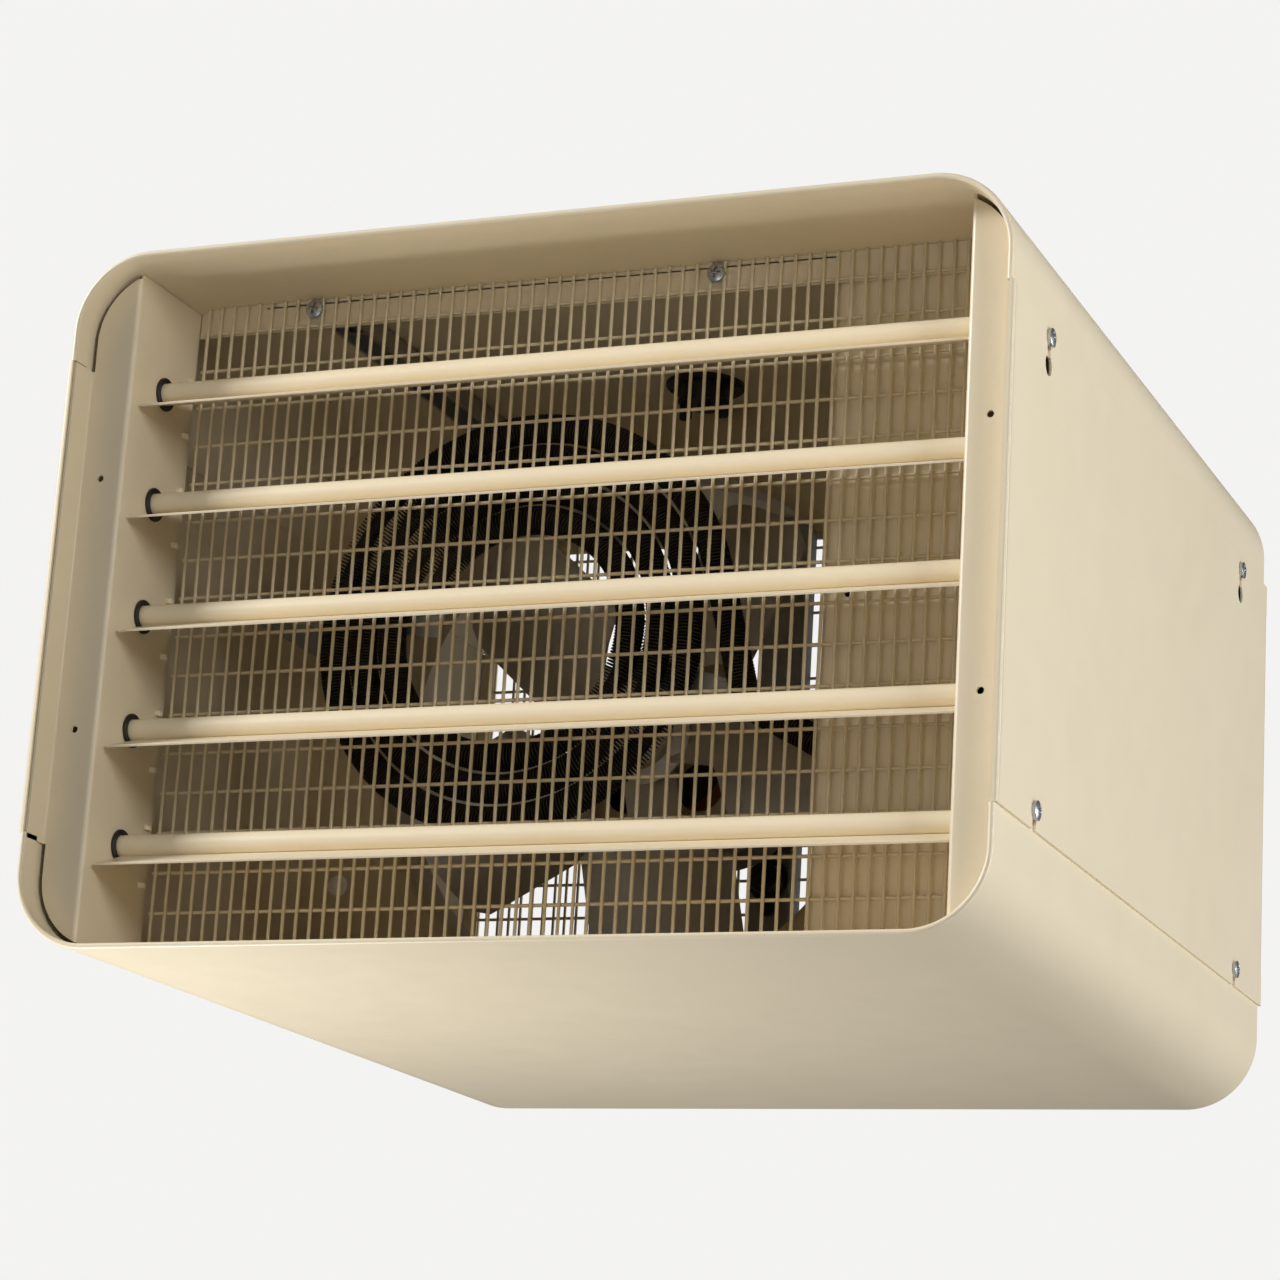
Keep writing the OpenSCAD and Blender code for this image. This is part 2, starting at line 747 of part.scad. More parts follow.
// Bulkhead with a drawn ring around the fan.
module fan_plate() {
    mouth_r = ring_r + flare_r;
    color(almond) place() difference() {
        union() {
            along_y(fan_plate_y, inner_t) difference() {
                intersection() {
                    inside_outline();
                    translate([-case_w, -case_h]) square([case_w + partition_x, 2 * case_h]);
                }
                translate([-fan_x, 0]) circle(mouth_r);
            }
            translate([-fan_x, fan_plate_y, 0]) rotate([-90, 0, 0]) {
                rotate_extrude($fn = 128) difference() {
                    translate([mouth_r, flare_r]) circle(flare_r);
                    translate([mouth_r, flare_r]) circle(flare_r - inner_t);
                    translate([mouth_r, -cut]) square(3 * flare_r);
                    translate([0, flare_r]) square([2 * mouth_r, 3 * flare_r]);
                }
                translate([0, 0, flare_r]) difference() {
                    cylinder(r = ring_r + inner_t, h = ring_depth - flare_r);
                    translate([0, 0, -cut]) cylinder(r = ring_r, h = ring_depth + 2 * cut);
                }
            }
        }
        translate([-mount_x / 2 - rail_w / 2 - seat_gap, fan_plate_y - cut, inside_z - rail_h - seat_gap])
            cube([rail_w + 2 * seat_gap, inner_t + 2 * cut, rail_h + cut]);
        rod_y(plug_at[0], fan_plate_y - cut, plug_at[1], plug_r / 2, inner_t + 2 * cut);
    }
}

// Snap-in plug in a spare hole of the fan plate.
module hole_plug() {
    color(almond) place() translate([plug_at[0], fan_plate_y, plug_at[1]]) rotate([90, 0, 0]) {
        translate([0, 0, -inner_t - 1]) cylinder(r = plug_r / 2, h = inner_t + 1.5);
        intersection() {
            cylinder(r = plug_r, h = plug_r);
            translate([0, 0, 2 - 2 * plug_r]) sphere(2 * plug_r);
        }
    }
}

module rear_guard() {
    color(almond) place() translate([0, guard_y, 0]) wire_mesh(-guard_left, guard_columns);
}

module guard_screws() {
    color(zinc) place() guard_screw_places() pan_screw(6);
}

// Upright channel that stiffens the rear guard and carries the fan switch.
module guard_brace() {
    color(galvanised) place() difference() {
        translate([brace_x - brace_w / 2, brace_y, -inside_z]) cube([brace_w, brace_d, 2 * inside_z]);
        translate([brace_x - brace_w / 2 + inner_t, brace_y + inner_t, -inside_z - cut])
            cube([brace_w - 2 * inner_t, brace_d, 2 * inside_z + 2 * cut]);
    }
}

function half_r(i) = coil_r - i * coil_pitch / 2;
function ray(angle) = [cos(angle), sin(angle)];
function bend_start() =
    [-coil_x, coil_z] + coil_r * ray(lead_angle) - lead_drop * ray(lead_angle + 90);
function bend_end() = bend_start() + lead_bend * (ray(lead_angle) - ray(lead_angle + lead_turn));
function fin_run() = (partition_x - fin_stop - bend_end()[0]) / sin(lead_angle + lead_turn);
function sheath_start() = bend_end() - fin_run() * ray(lead_angle + lead_turn + 90);
function sheath_end() = sheath_start() + sheath_bend * (ray(lead_angle + lead_turn) - [0, 1]);
function inner_end() = [-coil_x, coil_z] + half_r(coil_halves - 1) * ray(inner_turn);

// Where the two leads pass the partition, as distance from the front edge and height.
function lead_places() = [[coil_y, sheath_end()[1]], [coil_y + lead_back, inner_end()[1]]];

// Part of a ring in the plane of the coil, round a centre, from one angle over another.
module coil_arc(centre, radius, from, angle, r) {
    translate([centre[0], coil_y, centre[1]]) rotate([90, 0, 0]) rotate([0, 0, from])
        rotate_extrude(angle = angle, $fn = 96) translate([radius, 0]) circle(r, $fn = 32);
}

// Straight bar in the plane of the coil, from a point, square to the ray at an angle.
module coil_bar(start, angle, length, r) {
    translate([start[0], coil_y, start[1]]) rotate([90, 0, 0]) rotate([0, 0, angle])
        rotate([90, 0, 0]) cylinder(r = r, h = length);
}

// Thin collar round a joint between two lengths of the coil.
module coil_collar(point, angle, r) {
    coil_bar(point + collar_len / 2 * ray(angle + 90), angle, collar_len, r + collar_h);
}

// Finned spiral of half turns, with an outer lead that bends away and an inner lead behind it.
module heating_coil() {
    centre = [-coil_x, coil_z];
    out_angle = lead_angle + lead_turn;
    stop_x = control_x + lead_out;
    color(dark_steel) place() {
        coil_arc(centre, coil_r, lead_angle, 180 - lead_angle, fin_r);
        for (i = [1:coil_halves - 1])
            coil_arc(centre - [i % 2 * coil_pitch / 2, 0], half_r(i), i % 2 * 180,
                     i < coil_halves - 1 ? 180 : inner_turn, fin_r);
        coil_bar(centre + coil_r * ray(lead_angle), lead_angle, lead_drop, fin_r);
        coil_arc(bend_start() + lead_bend * ray(lead_angle), lead_bend, 180 + lead_angle, lead_turn, fin_r);
        coil_bar(bend_end(), out_angle, fin_run(), fin_r);
        coil_arc(sheath_start() + sheath_bend * ray(out_angle), sheath_bend,
                 180 + out_angle, 90 - out_angle, sheath_r);
        rod_x(sheath_end()[0], coil_y, sheath_end()[1], sheath_r, stop_x - sheath_end()[0]);
        rod_y(inner_end()[0], coil_y, inner_end()[1], sheath_r, lead_back);
        translate([inner_end()[0], coil_y + lead_back, inner_end()[1]]) sphere(sheath_r);
        rod_x(inner_end()[0], coil_y + lead_back, inner_end()[1], sheath_r, stop_x - inner_end()[0]);
        for (at = lead_places()) rod_x(stop_x - cut, at[0], at[1], sheath_r / 2, lead_out / 2 + cut);
        for (i = [1:coil_halves - 1])
            coil_collar(centre + (i % 2 == 1 ? [-half_r(i - 1), 0] : [half_r(i), 0]), 0, fin_r);
        coil_collar(centre + coil_r * ray(lead_angle), lead_angle, fin_r);
        coil_collar(bend_start(), lead_angle, fin_r);
        coil_collar(bend_end(), out_angle, fin_r);
        coil_collar(sheath_start(), out_angle, fin_r);
        coil_collar(sheath_end(), 90, sheath_r);
    }
}

// Two arms behind the coil, each bent back to the fan plate.
module coil_supports() {
    arm_in = half_r(coil_halves - 1) - fin_r;
    color(galvanised) place() translate([-coil_x, 0, coil_z]) for (angle = [-18, 172]) {
        arm_out = ring_r + flare_r + 4 - [coil_side, coil_z] * ray(angle);
        rotate([0, -angle, 0]) {
            translate([arm_in, coil_y + fin_r, -support_w / 2])
                cube([arm_out - arm_in, support_t, support_w]);
            translate([arm_out - support_t, coil_y + fin_r, -support_w / 2])
                cube([support_t, fan_plate_y - coil_y - fin_r, support_w]);
        }
    }
}

module lead_bushings() {
    flange_r = sheath_r + ceramic_wall + ceramic_lip;
    color([0.90, 0.88, 0.82]) place() for (at = lead_places())
        translate([partition_x, at[0], at[1]]) rotate([0, 90, 0]) difference() {
            union() {
                translate([0, 0, -ceramic_front]) cylinder(r = flange_r, h = ceramic_front);
                cylinder(r = sheath_r + ceramic_wall, h = inner_t);
                translate([0, 0, inner_t]) cylinder(r = flange_r, h = ceramic_rear);
            }
            translate([0, 0, -ceramic_front - cut])
                cylinder(r = sheath_r, h = ceramic_front + inner_t + ceramic_rear + 2 * cut);
        }
}

// Bimetal safety switch under the ceiling of the air chamber.
module high_limit() {
    color(black_plastic) place() translate([limit_at[0], limit_at[1], inside_z]) mirror([0, 0, 1]) {
        cylinder(r = limit_r, h = limit_plate_t);
        cylinder(r = limit_body_r, h = limit_body_h);
        translate([0, 0, limit_body_h]) cylinder(r = limit_button_r, h = limit_button_h);
        for (x = [-1, 1]) translate([x * (limit_body_r - limit_button_r) - tab_w / 2, -tab_t / 2, limit_body_h - cut])
            cube([tab_w, tab_t, tab_len]);
    }
}

// One fan blade, drawn along the module's +X with the fan axis as Z.
module fan_blade() {
    root = hub_r - 3;
    reach = fan_r - root;
    intersection() {
        translate([root, 0, 0]) rotate([90, 0, 90]) linear_extrude(reach + cut) rotate(blade_pitch)
            translate([0, -blade_curve + fan_t / 2]) intersection() {
                difference() {
                    circle(blade_curve, $fn = 128);
                    circle(blade_curve - fan_t, $fn = 128);
                }
                translate([-blade_chord / 2, 0]) square([blade_chord, 2 * blade_curve]);
            }
        translate([0, 0, -blade_chord]) linear_extrude(2 * blade_chord) intersection() {
            circle(fan_r, $fn = 128);
            union() {
                translate([fan_r * 0.7, 0]) circle(fan_r * 0.37);
                translate([0, -hub_r * 0.7]) square([fan_r * 0.6, hub_r * 1.4]);
            }
        }
    }
}

module fan() {
    color([0.75, 0.75, 0.73]) place() translate([-fan_x, fan_y, 0]) rotate([-90, 0, 0]) difference() {
        union() {
            for (i = [0:fan_blades - 1]) rotate([0, 0, 7 + i * 360 / fan_blades]) fan_blade();
            translate([0, 0, -hub_len / 2]) cylinder(r = hub_r, h = hub_len);
        }
        translate([0, 0, -blade_chord]) cylinder(r = shaft_r, h = 2 * blade_chord);
        translate([0, 0, -hub_len / 4]) rotate([0, 90, 0]) cylinder(r = bolt_r, h = 2 * hub_r);
    }
}

module fan_set_screw() {
    color(zinc) place() translate([-fan_x, fan_y - hub_len / 4, 0])
        rod_x(shaft_r, 0, 0, bolt_r, hub_r - shaft_r - 1);
}

module motor_shaft() {
    front = fan_y - hub_len / 2 - 4;
    color(zinc) place() rod_y(-fan_x, front, 0, shaft_r, motor_end - front);
}

module motor_rotor() {
    color(galvanised) place() difference() {
        rod_y(-fan_x, stator_y, 0, rotor_r, stator_len);
        rod_y(-fan_x, stator_y - cut, 0, shaft_r, stator_len + 2 * cut);
    }
}

// Four places around the motor axis, for its bolts.
module bolt_places() {
    for (i = [0:3])
        translate([-fan_x, 0, 0]) rotate([0, 90 * i, 0]) translate([bolt_circle, 0, 0]) children();
}

module bolt_holes() {
    bolt_places() rod_y(0, bracket_y - cut, 0, bolt_r, motor_end - bracket_y + 2 * cut);
}

module motor_stator() {
    color([0.45, 0.46, 0.47]) place() difference() {
        rod_y(-fan_x, stator_y, 0, motor_r, stator_len);
        rod_y(-fan_x, stator_y - cut, 0, stator_bore_r, stator_len + 2 * cut);
        bolt_holes();
    }
}

module motor_windings() {
    depth = bell_len - boss_len - 3;
    color([0.62, 0.32, 0.14]) place() for (y = [stator_y - depth, stator_y + stator_len]) difference() {
        rod_y(-fan_x, y, 0, winding_r, depth);
        rod_y(-fan_x, y - cut, 0, stator_bore_r + 1, depth + 2 * cut);
    }
}

// Vents round the motor's axis, cut through a wall that starts at the module's z = 0.
module vents(thickness) {
    for (i = [0:3])
        rotate([0, 0, 45 + 90 * i]) translate([vent_circle, 0, -cut])
            cylinder(r = vent_r, h = thickness + 2 * cut);
}

// Cup with a bearing boss and four bolt posts; its open end is at the module's z = bell_len.
module end_bell() {
    difference() {
        union() {
            difference() {
                cylinder(r = motor_r, h = bell_len);
                translate([0, 0, bell_wall]) cylinder(r = motor_r - bell_wall, h = bell_len);
                vents(bell_wall);
            }
            cylinder(r = bearing_r + bell_wall, h = boss_len);
            for (i = [0:3]) rotate([0, 0, 90 * i]) translate([bolt_circle, 0, 0]) cylinder(r = post_r, h = bell_len);
        }
        translate([0, 0, bell_wall]) cylinder(r = bearing_r, h = bell_len);
        translate([0, 0, -cut]) cylinder(r = shaft_r + 1, h = bell_len);
        for (i = [0:3])
            rotate([0, 0, 90 * i]) translate([bolt_circle, 0, -cut]) cylinder(r = bolt_r, h = bell_len + 2 * cut);
    }
}

module motor_bell_front() {
    color(galvanised) place() translate([-fan_x, bell_front_y, 0]) rotate([-90, 0, 0]) end_bell();
}

module motor_bell_rear() {
    color(galvanised) place() translate([-fan_x, motor_end, 0]) rotate([90, 0, 0]) end_bell();
}

module motor_bearings() {
    color([0.70, 0.52, 0.26]) place()
        for (y = [bell_front_y + bell_wall, motor_end - bell_wall - bearing_len]) difference() {
            rod_y(-fan_x, y, 0, bearing_r, bearing_len);
            rod_y(-fan_x, y - cut, 0, shaft_r + shaft_gap, bearing_len + 2 * cut);
        }
}

// Upright plate with a round head and a foot, which carries the motor.
module motor_bracket() {
    foot = 60;
    color(almond) place() {
        along_y(bracket_y, motor_plate_t) difference() {
            union() {
                translate([-fan_x - bracket_side - bracket_w / 2, -inside_z]) square([bracket_w, inside_z]);
                translate([-fan_x, 0]) circle(bracket_head_r, $fn = 96);
            }
            translate([-fan_x, 0]) circle(bearing_r + 2);
            for (i = [0:3]) translate([-fan_x, 0]) rotate(90 * i) {
                translate([bolt_circle, 0]) circle(bolt_r);
                rotate(45) translate([vent_circle, 0]) circle(vent_r);
            }
        }
        translate([-fan_x - bracket_side - bracket_w / 2, bracket_y, -inside_z]) cube([bracket_w, foot, motor_plate_t]);
    }
}

module motor_bolts() {
    nut_r = 1.9 * bolt_r;
    color(zinc) place() bolt_places() {
        rod_y(0, bracket_y - 4, 0, bolt_r, motor_end - bracket_y + 4);
        translate([0, bracket_y, 0]) rotate([90, 0, 0]) cylinder(r = nut_r, h = 3, $fn = 6);
        rod_y(0, motor_end, 0, nut_r, 2);
    }
}

// Round bimetal switch on the guard brace, with a flat terminal above and below.
module fan_switch() {
    base = 3;
    color(black_plastic) place() translate([brace_x, brace_y, -switch_down]) rotate([90, 0, 0]) {
        cylinder(r = switch_r, h = base);
        cylinder(r = switch_cap_r, h = switch_h);
        for (side = [-1, 1])
            translate([-tab_w / 2, side * (switch_r + tab_len / 2 - 1) - tab_len / 2, base / 2])
                cube([tab_w, tab_len, tab_t]);
    }
}

// Box that stands on the partition's control side, its low front corner at [y, z].
module control_box(at, size) {
    translate([control_x, at[0], at[1]]) cube([size[2], size[0], size[1]]);
}

module contactor_base() {
    face_x = control_x + contactor[2];
    color([0.18, 0.17, 0.16]) place() difference() {
        control_box(contactor_at, contactor);
        rod_x(face_x - stem_depth, stem_at[0], stem_at[1], stem_r + shaft_gap, stem_depth + cut);
        for (y = [-1, 1], z = [-1, 1])
            translate([face_x - pocket[0], stem_at[0] + y * pocket_at[0] - pocket[1] / 2,
                       stem_at[1] + z * pocket_at[1] - pocket[2] / 2])
                cube([pocket[0] + cut, pocket[1], pocket[2]]);
    }
}

module contactor_armature() {
    face_x = control_x + contactor[2] + armature_travel + stem_gap;
    color([0.55, 0.55, 0.56]) place() {
        rod_x(face_x - stem_hold, stem_at[0], stem_at[1], stem_r, stem_hold + cut);
        translate([face_x, stem_at[0] - armature_plate[1] / 2, stem_at[1] - armature_plate[2] / 2])
            cube(armature_plate);
    }
}

module transformer_core() {
    window = [transformer[0], transformer[1] / 2];
    color(dark_steel) place() difference() {
        control_box(transformer_at, transformer);
        translate([control_x + transformer[2] / 4, transformer_at[0] - cut, transformer_at[1] + transformer[1] / 4])
            cube([transformer[2] / 2, window[0] + 2 * cut, window[1]]);
    }
}

module transformer_coil() {
    color([0.80, 0.74, 0.45]) place()
        translate([control_x + transformer[2] / 4, transformer_at[0] - transformer_overhang,
                   transformer_at[1] + transformer[1] / 4])
            cube([transformer[2] / 2, transformer[0] + 2 * transformer_overhang, transformer[1] / 2 - seat_gap]);
}

module terminal_places() {
    for (i = [0:2])
        translate([control_x + terminal_block[2], terminal_at[0] + (i + 0.5) * terminal_block[0] / 3,
                   terminal_at[1] + terminal_block[1] / 2]) rotate([0, 90, 0]) children();
}

module terminal_block() {
    color(black_plastic) place() difference() {
        union() {
            control_box(terminal_at, terminal_block);
            for (i = [0:3])
                translate([control_x, terminal_at[0] + i * (terminal_block[0] - barrier_t) / 3, terminal_at[1]])
                    cube([terminal_block[2] + barrier_h, barrier_t, terminal_block[1]]);
        }
        terminal_places() translate([0, 0, -screw_len]) cylinder(r = screw_r, h = screw_len + cut);
    }
}

module terminal_screws() {
    color([0.72, 0.60, 0.32]) place() terminal_places() pan_screw();
}

module ground_screw() {
    color([0.22, 0.45, 0.24]) place() translate([control_x, ground_at[0], ground_at[1]])
        rotate([0, 90, 0]) pan_screw();
}

// Plastic bushing that lines the cable inlet in the rear of the control compartment.
module cable_bushing() {
    flange = 3;
    color(black_plastic) place() translate([inlet_at[0], rear_inner, inlet_at[1]]) rotate([90, 0, 0]) difference() {
        union() {
            translate([0, 0, -1.2]) cylinder(r = inlet_r + flange, h = 1.2);
            cylinder(r = inlet_r, h = inner_t);
            translate([0, 0, inner_t]) cylinder(r = inlet_r + 1, h = 5);
        }
        translate([0, 0, -flange]) cylinder(r = inlet_r - inlet_wall, h = 4 * flange);
    }
}

top_shell();
bottom_shell();
side_panel_left();
side_panel_right();
panel_screws();
hanger_rail_left();
hanger_rail_right();
hanger_nuts();
louver_bracket_left();
louver_bracket_right();
louver_bushings();
louver_1();
louver_2();
louver_3();
louver_4();
louver_5();
front_grille();
grille_rail_top();
grille_rail_bottom();
grille_screws();
partition();
fan_plate();
rear_guard();
guard_screws();
guard_brace();
hole_plug();
heating_coil();
coil_supports();
lead_bushings();
high_limit();
fan();
fan_set_screw();
motor_shaft();
motor_rotor();
motor_stator();
motor_windings();
motor_bell_front();
motor_bell_rear();
motor_bearings();
motor_bracket();
motor_bolts();
fan_switch();
contactor_base();
contactor_armature();
transformer_core();
transformer_coil();
terminal_block();
terminal_screws();
ground_screw();
cable_bushing();
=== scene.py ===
"""Looks of the ceiling mounted fan heater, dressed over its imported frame.

Sizes are in millimetres in the case's own coordinates: X to the right of the middle, Y back from the front
edge and Z above the middle of the case. ``to_mesh`` turns them into the frame's metres.
"""

from __future__ import annotations

import logging
import math
from collections.abc import Callable, Iterable, Sequence
from dataclasses import dataclass
from enum import Enum

import bmesh
import bpy
import numpy as np
from mathutils import Matrix, Vector


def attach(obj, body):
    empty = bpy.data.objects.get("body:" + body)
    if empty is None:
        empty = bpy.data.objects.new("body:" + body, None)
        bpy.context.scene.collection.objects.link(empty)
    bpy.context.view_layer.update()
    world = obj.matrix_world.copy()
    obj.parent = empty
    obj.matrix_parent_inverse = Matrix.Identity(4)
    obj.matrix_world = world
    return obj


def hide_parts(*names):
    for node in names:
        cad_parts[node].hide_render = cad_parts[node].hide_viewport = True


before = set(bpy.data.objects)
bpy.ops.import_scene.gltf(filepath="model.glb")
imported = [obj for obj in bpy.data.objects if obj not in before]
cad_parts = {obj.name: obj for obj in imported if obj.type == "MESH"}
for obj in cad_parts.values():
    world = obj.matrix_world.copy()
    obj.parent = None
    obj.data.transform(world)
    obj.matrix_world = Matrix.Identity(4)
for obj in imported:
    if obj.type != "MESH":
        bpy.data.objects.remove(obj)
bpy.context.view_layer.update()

log = logging.getLogger("heater")

Pair = tuple[float, float]
Triple = tuple[float, float, float]

CASE_DEPTH = 432.0
CASE_HEIGHT = 306.0
SHEET = 1.2  # thickness of the case's and the inner sheets
BRACKET_X = 189.0  # inner face of the louver brackets and half width of the grille rails
PARTITION_X = 113.0  # partition, from the middle
HANGER_X = 122.0  # ceiling holes and hanger rails, from the middle
FAN_X = -48.0  # fan axis, from the middle
FAN_PLATE_Y = 246.0  # fan plate, from the front edge
BRACE_X = -35.0  # rear brace and the switch on it, from the middle
NUMBER_8 = (4.0, 2.4, 2.05)  # head radius, head height and shank radius of a number 8 screw
DRILL = 4.0  # how far a cutter reaches to either side of the sheet

METRES = 0.001  # metres to the millimetre
WELD = 2e-6  # points nearer to each other than this become one, in metres
ROUNDED = 40.0  # edges sharper than this many degrees are rounded
SIDES = ((-1, "left"), (1, "right"))


class Body(Enum):
    """Bodies of the frame that made pieces ride on, beside the louvers' own."""

    CASE = "case"
    FAN = "fan_body"


class Axis(Enum):
    """Direction that a turned or drawn piece is built along."""

    X = "X"
    Y = "Y"
    Z = "Z"


class Slot(Enum):
    """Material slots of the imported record."""

    ALMOND = "almond"
    ZINC = "zinc"
    GALVANISED = "galvanised"
    BLACK = "bushing_black"
    SHEATH = "sheath"
    ALUMINIUM = "aluminium"
    CERAMIC = "ceramic"
    LAMINATION = "lamination"
    COPPER = "copper"
    BRONZE = "bronze"
    PHENOLIC = "brown_plastic"
    TAPE = "tape"
    GREEN = "green"


# ----------------------------------------------------------------------------------------------- shader maths


class Graph:
    """Node tree of one material."""

    def __init__(self, material: bpy.types.Material) -> None:
        """Empties the material's tree.

        Args:
            material: The material to fill.
        """
        material.use_nodes = True
        self.tree = material.node_tree
        self.tree.nodes.clear()

    def add(self, kind: str, settings: dict[str, object] | None = None, **inputs: object) -> bpy.types.Node:
        """Adds one node.

        Args:
            kind: The node's type, such as ShaderNodeTexNoise.
            settings: Its settings, set first; ``stops`` are a ramp's (position, colour) pairs.
            inputs: Values or links of its sockets, by name with _ for a space, or i0, i1 by number.

        Returns:
            The new node.
        """
        node = self.tree.nodes.new(kind)
        for key, value in (settings or {}).items():
            if key == "stops":
                ramp = node.color_ramp
                while len(ramp.elements) < len(value):
                    ramp.elements.new(0.5)
                for element, (position, colour) in zip(ramp.elements, value):
                    element.position, element.color = position, (*colour, 1.0)
            else:
                setattr(node, key, value)
        for key, value in inputs.items():
            numbered = key[0] == "i" and key[1:].isdigit()
            socket = node.inputs[int(key[1:]) if numbered else key.replace("_", " ")]
            if isinstance(value, Wire):
                self.tree.links.new(value.socket, socket)
            elif isinstance(value, tuple) and len(value) == 3 and len(socket.default_value) == 4:
                socket.default_value = (*value, 1.0)
            else:
                socket.default_value = value
        return node

    def wire(self, node: bpy.types.Node, output: str | int = 0) -> Wire:
        """Wraps one output of a node.

        Args:
            node: The node.
            output: The output's name or number.

        Returns:
            The wrapped socket.
        """
        return Wire(self, node.outputs[output])

    def place(self) -> Wire:
        """Returns the place on the piece, in metres."""
        return self.wire(self.add("ShaderNodeTexCoord"), "Object")

    def scaled(self, place: Wire, scale: Triple) -> Wire:
        """Stretches a place.

        Args:
            place: The place.
            scale: Factor along each axis.

        Returns:
            The stretched place.
        """
        return self.wire(self.add("ShaderNodeVectorMath", {"operation": "MULTIPLY"}, i0=place, i1=scale))

    def noise(self, place: Wire, scale: float, detail: float = 3.0, roughness: float = 0.5) -> Wire:
        """Soft noise from 0 to 1.

        Args:
            place: Where it is read.
            scale: Waves to the metre.
            detail: Octaves.
            roughness: Share of the finer octaves.

        Returns:
            The noise.
        """
        node = self.add("ShaderNodeTexNoise", Vector=place, Scale=scale, Detail=detail, Roughness=roughness)
        return self.wire(node, 0)

    def cells(self, place: Wire, scale: float) -> Wire:
        """Random grey per crystal.

        Args:
            place: Where it is read.
            scale: Crystals to the metre.

        Returns:
            The grey, from 0 to 1.
        """
        node = self.add("ShaderNodeTexVoronoi", Vector=place, Scale=scale)
        return self.wire(self.add("ShaderNodeSeparateColor", Color=self.wire(node, "Color")), 0)

    def ramp(self, value: Wire, low: float, high: float) -> Wire:
        """Stretches a value from low..high to 0..1, cut off at both ends.

        Args:
            value: The value.
            low: What becomes 0.
            high: What becomes 1.

        Returns:
            The stretched value.
        """
        return self.wire(self.add("ShaderNodeMapRange", Value=value, From_Min=low, From_Max=high))

    def blend(self, mask: Wire | float, low: Wire | Triple, high: Wire | Triple) -> Wire:
        """Mixes two colours.

        Args:
            mask: 0 for low, 1 for high.
            low: First colour.
            high: Second colour.

        Returns:
            The mixed colour.
        """
        node = self.add("ShaderNodeMix", {"data_type": "RGBA"}, i0=mask, i6=low, i7=high)
        return self.wire(node, 2)

    def bump(self, height: Wire, strength: float, depth: float) -> Wire:
        """Normal bent by a height.

        Args:
            height: The height, from 0 to 1.
            strength: Share of the effect.
            depth: Height of 1, in metres.

        Returns:
            The normal.
        """
        return self.wire(self.add("ShaderNodeBump", Strength=strength, Distance=depth, Height=height))

    def surface(self, **inputs: object) -> None:
        """Ends the tree in a principled shader.

        Args:
            inputs: Its sockets, by name with _ for a space.
        """
        shader = self.add("ShaderNodeBsdfPrincipled", None, **inputs)
        self.add("ShaderNodeOutputMaterial", None, Surface=self.wire(shader))


class Wire:
    """One output socket that can be used in sums."""

    def __init__(self, graph: Graph, socket: bpy.types.NodeSocket) -> None:
        """Keeps the socket.

        Args:
            graph: The tree that the socket is in.
            socket: The output socket.
        """
        self.graph = graph
        self.socket = socket

    def _math(self, operation: str, first: Wire | float, second: Wire | float) -> Wire:
        """Adds a Math node.

        Args:
            operation: The node's operation.
            first: Its first value.
            second: Its second value.

        Returns:
            The result.
        """
        return self.graph.wire(self.graph.add("ShaderNodeMath", {"operation": operation}, i0=first, i1=second))

    def __add__(self, other: Wire | float) -> Wire:
        """Sum."""
        return self._math("ADD", self, other)

    def __radd__(self, other: float) -> Wire:
        """Sum with a number in front."""
        return self._math("ADD", other, self)

    def __sub__(self, other: Wire | float) -> Wire:
        """Difference."""
        return self._math("SUBTRACT", self, other)

    def __mul__(self, other: Wire | float) -> Wire:
        """Product."""
        return self._math("MULTIPLY", self, other)


# --------------------------------------------------------------------------------------------------- finishes


@dataclass(frozen=True)
class Finish:
    """A finish of the heater.

    Attributes:
        name: The material's name.
        slot: The record's slot that it belongs to.
        colour: Main colour, linear.
        second: Colour that it varies towards.
        roughness: Mean roughness.
    """

    name: str
    slot: Slot
    colour: Triple
    second: Triple
    roughness: float

    def fill(self, graph: Graph) -> None:
        """Draws the finish.

        Args:
            graph: The empty tree.
        """
        raise NotImplementedError

    def material(self) -> bpy.types.Material:
        """Returns the material, made at its first use."""
        made = bpy.data.materials.get(self.name)
        if made is None:
            made = bpy.data.materials.new(self.name)
            self.fill(Graph(made))
            made.diffuse_color = (*self.colour, 1.0)
        return made


@dataclass(frozen=True)
class PowderCoat(Finish):
    """Baked powder with a fine orange peel and a little dust.

    Attributes:
        peel: Strength of the orange peel.
    """

    peel: float = 0.16

    def fill(self, graph: Graph) -> None:
        """Draws the coat.

        Args:
            graph: The empty tree.
        """
        place = graph.place()
        clouds = graph.noise(place, 11.0, 4.0, 0.6)
        flecks = graph.noise(place, 420.0, 2.0)
        tone = graph.ramp(clouds * 0.75 + flecks * 0.25, 0.3, 0.7)
        peel = graph.noise(place, 900.0, 2.5, 0.55)
        rub = graph.ramp(graph.noise(place, 46.0, 5.0, 0.65), 0.35, 0.75)
        graph.surface(
            Base_Color=graph.blend(tone, self.colour, self.second),
            Roughness=self.roughness - 0.04 + rub * 0.08 + (peel - 0.5) * 0.05,
            Specular_IOR_Level=0.45,
            Coat_Weight=0.12,
            Coat_Roughness=0.3,
            Normal=graph.bump(peel, self.peel, 0.00025),
        )


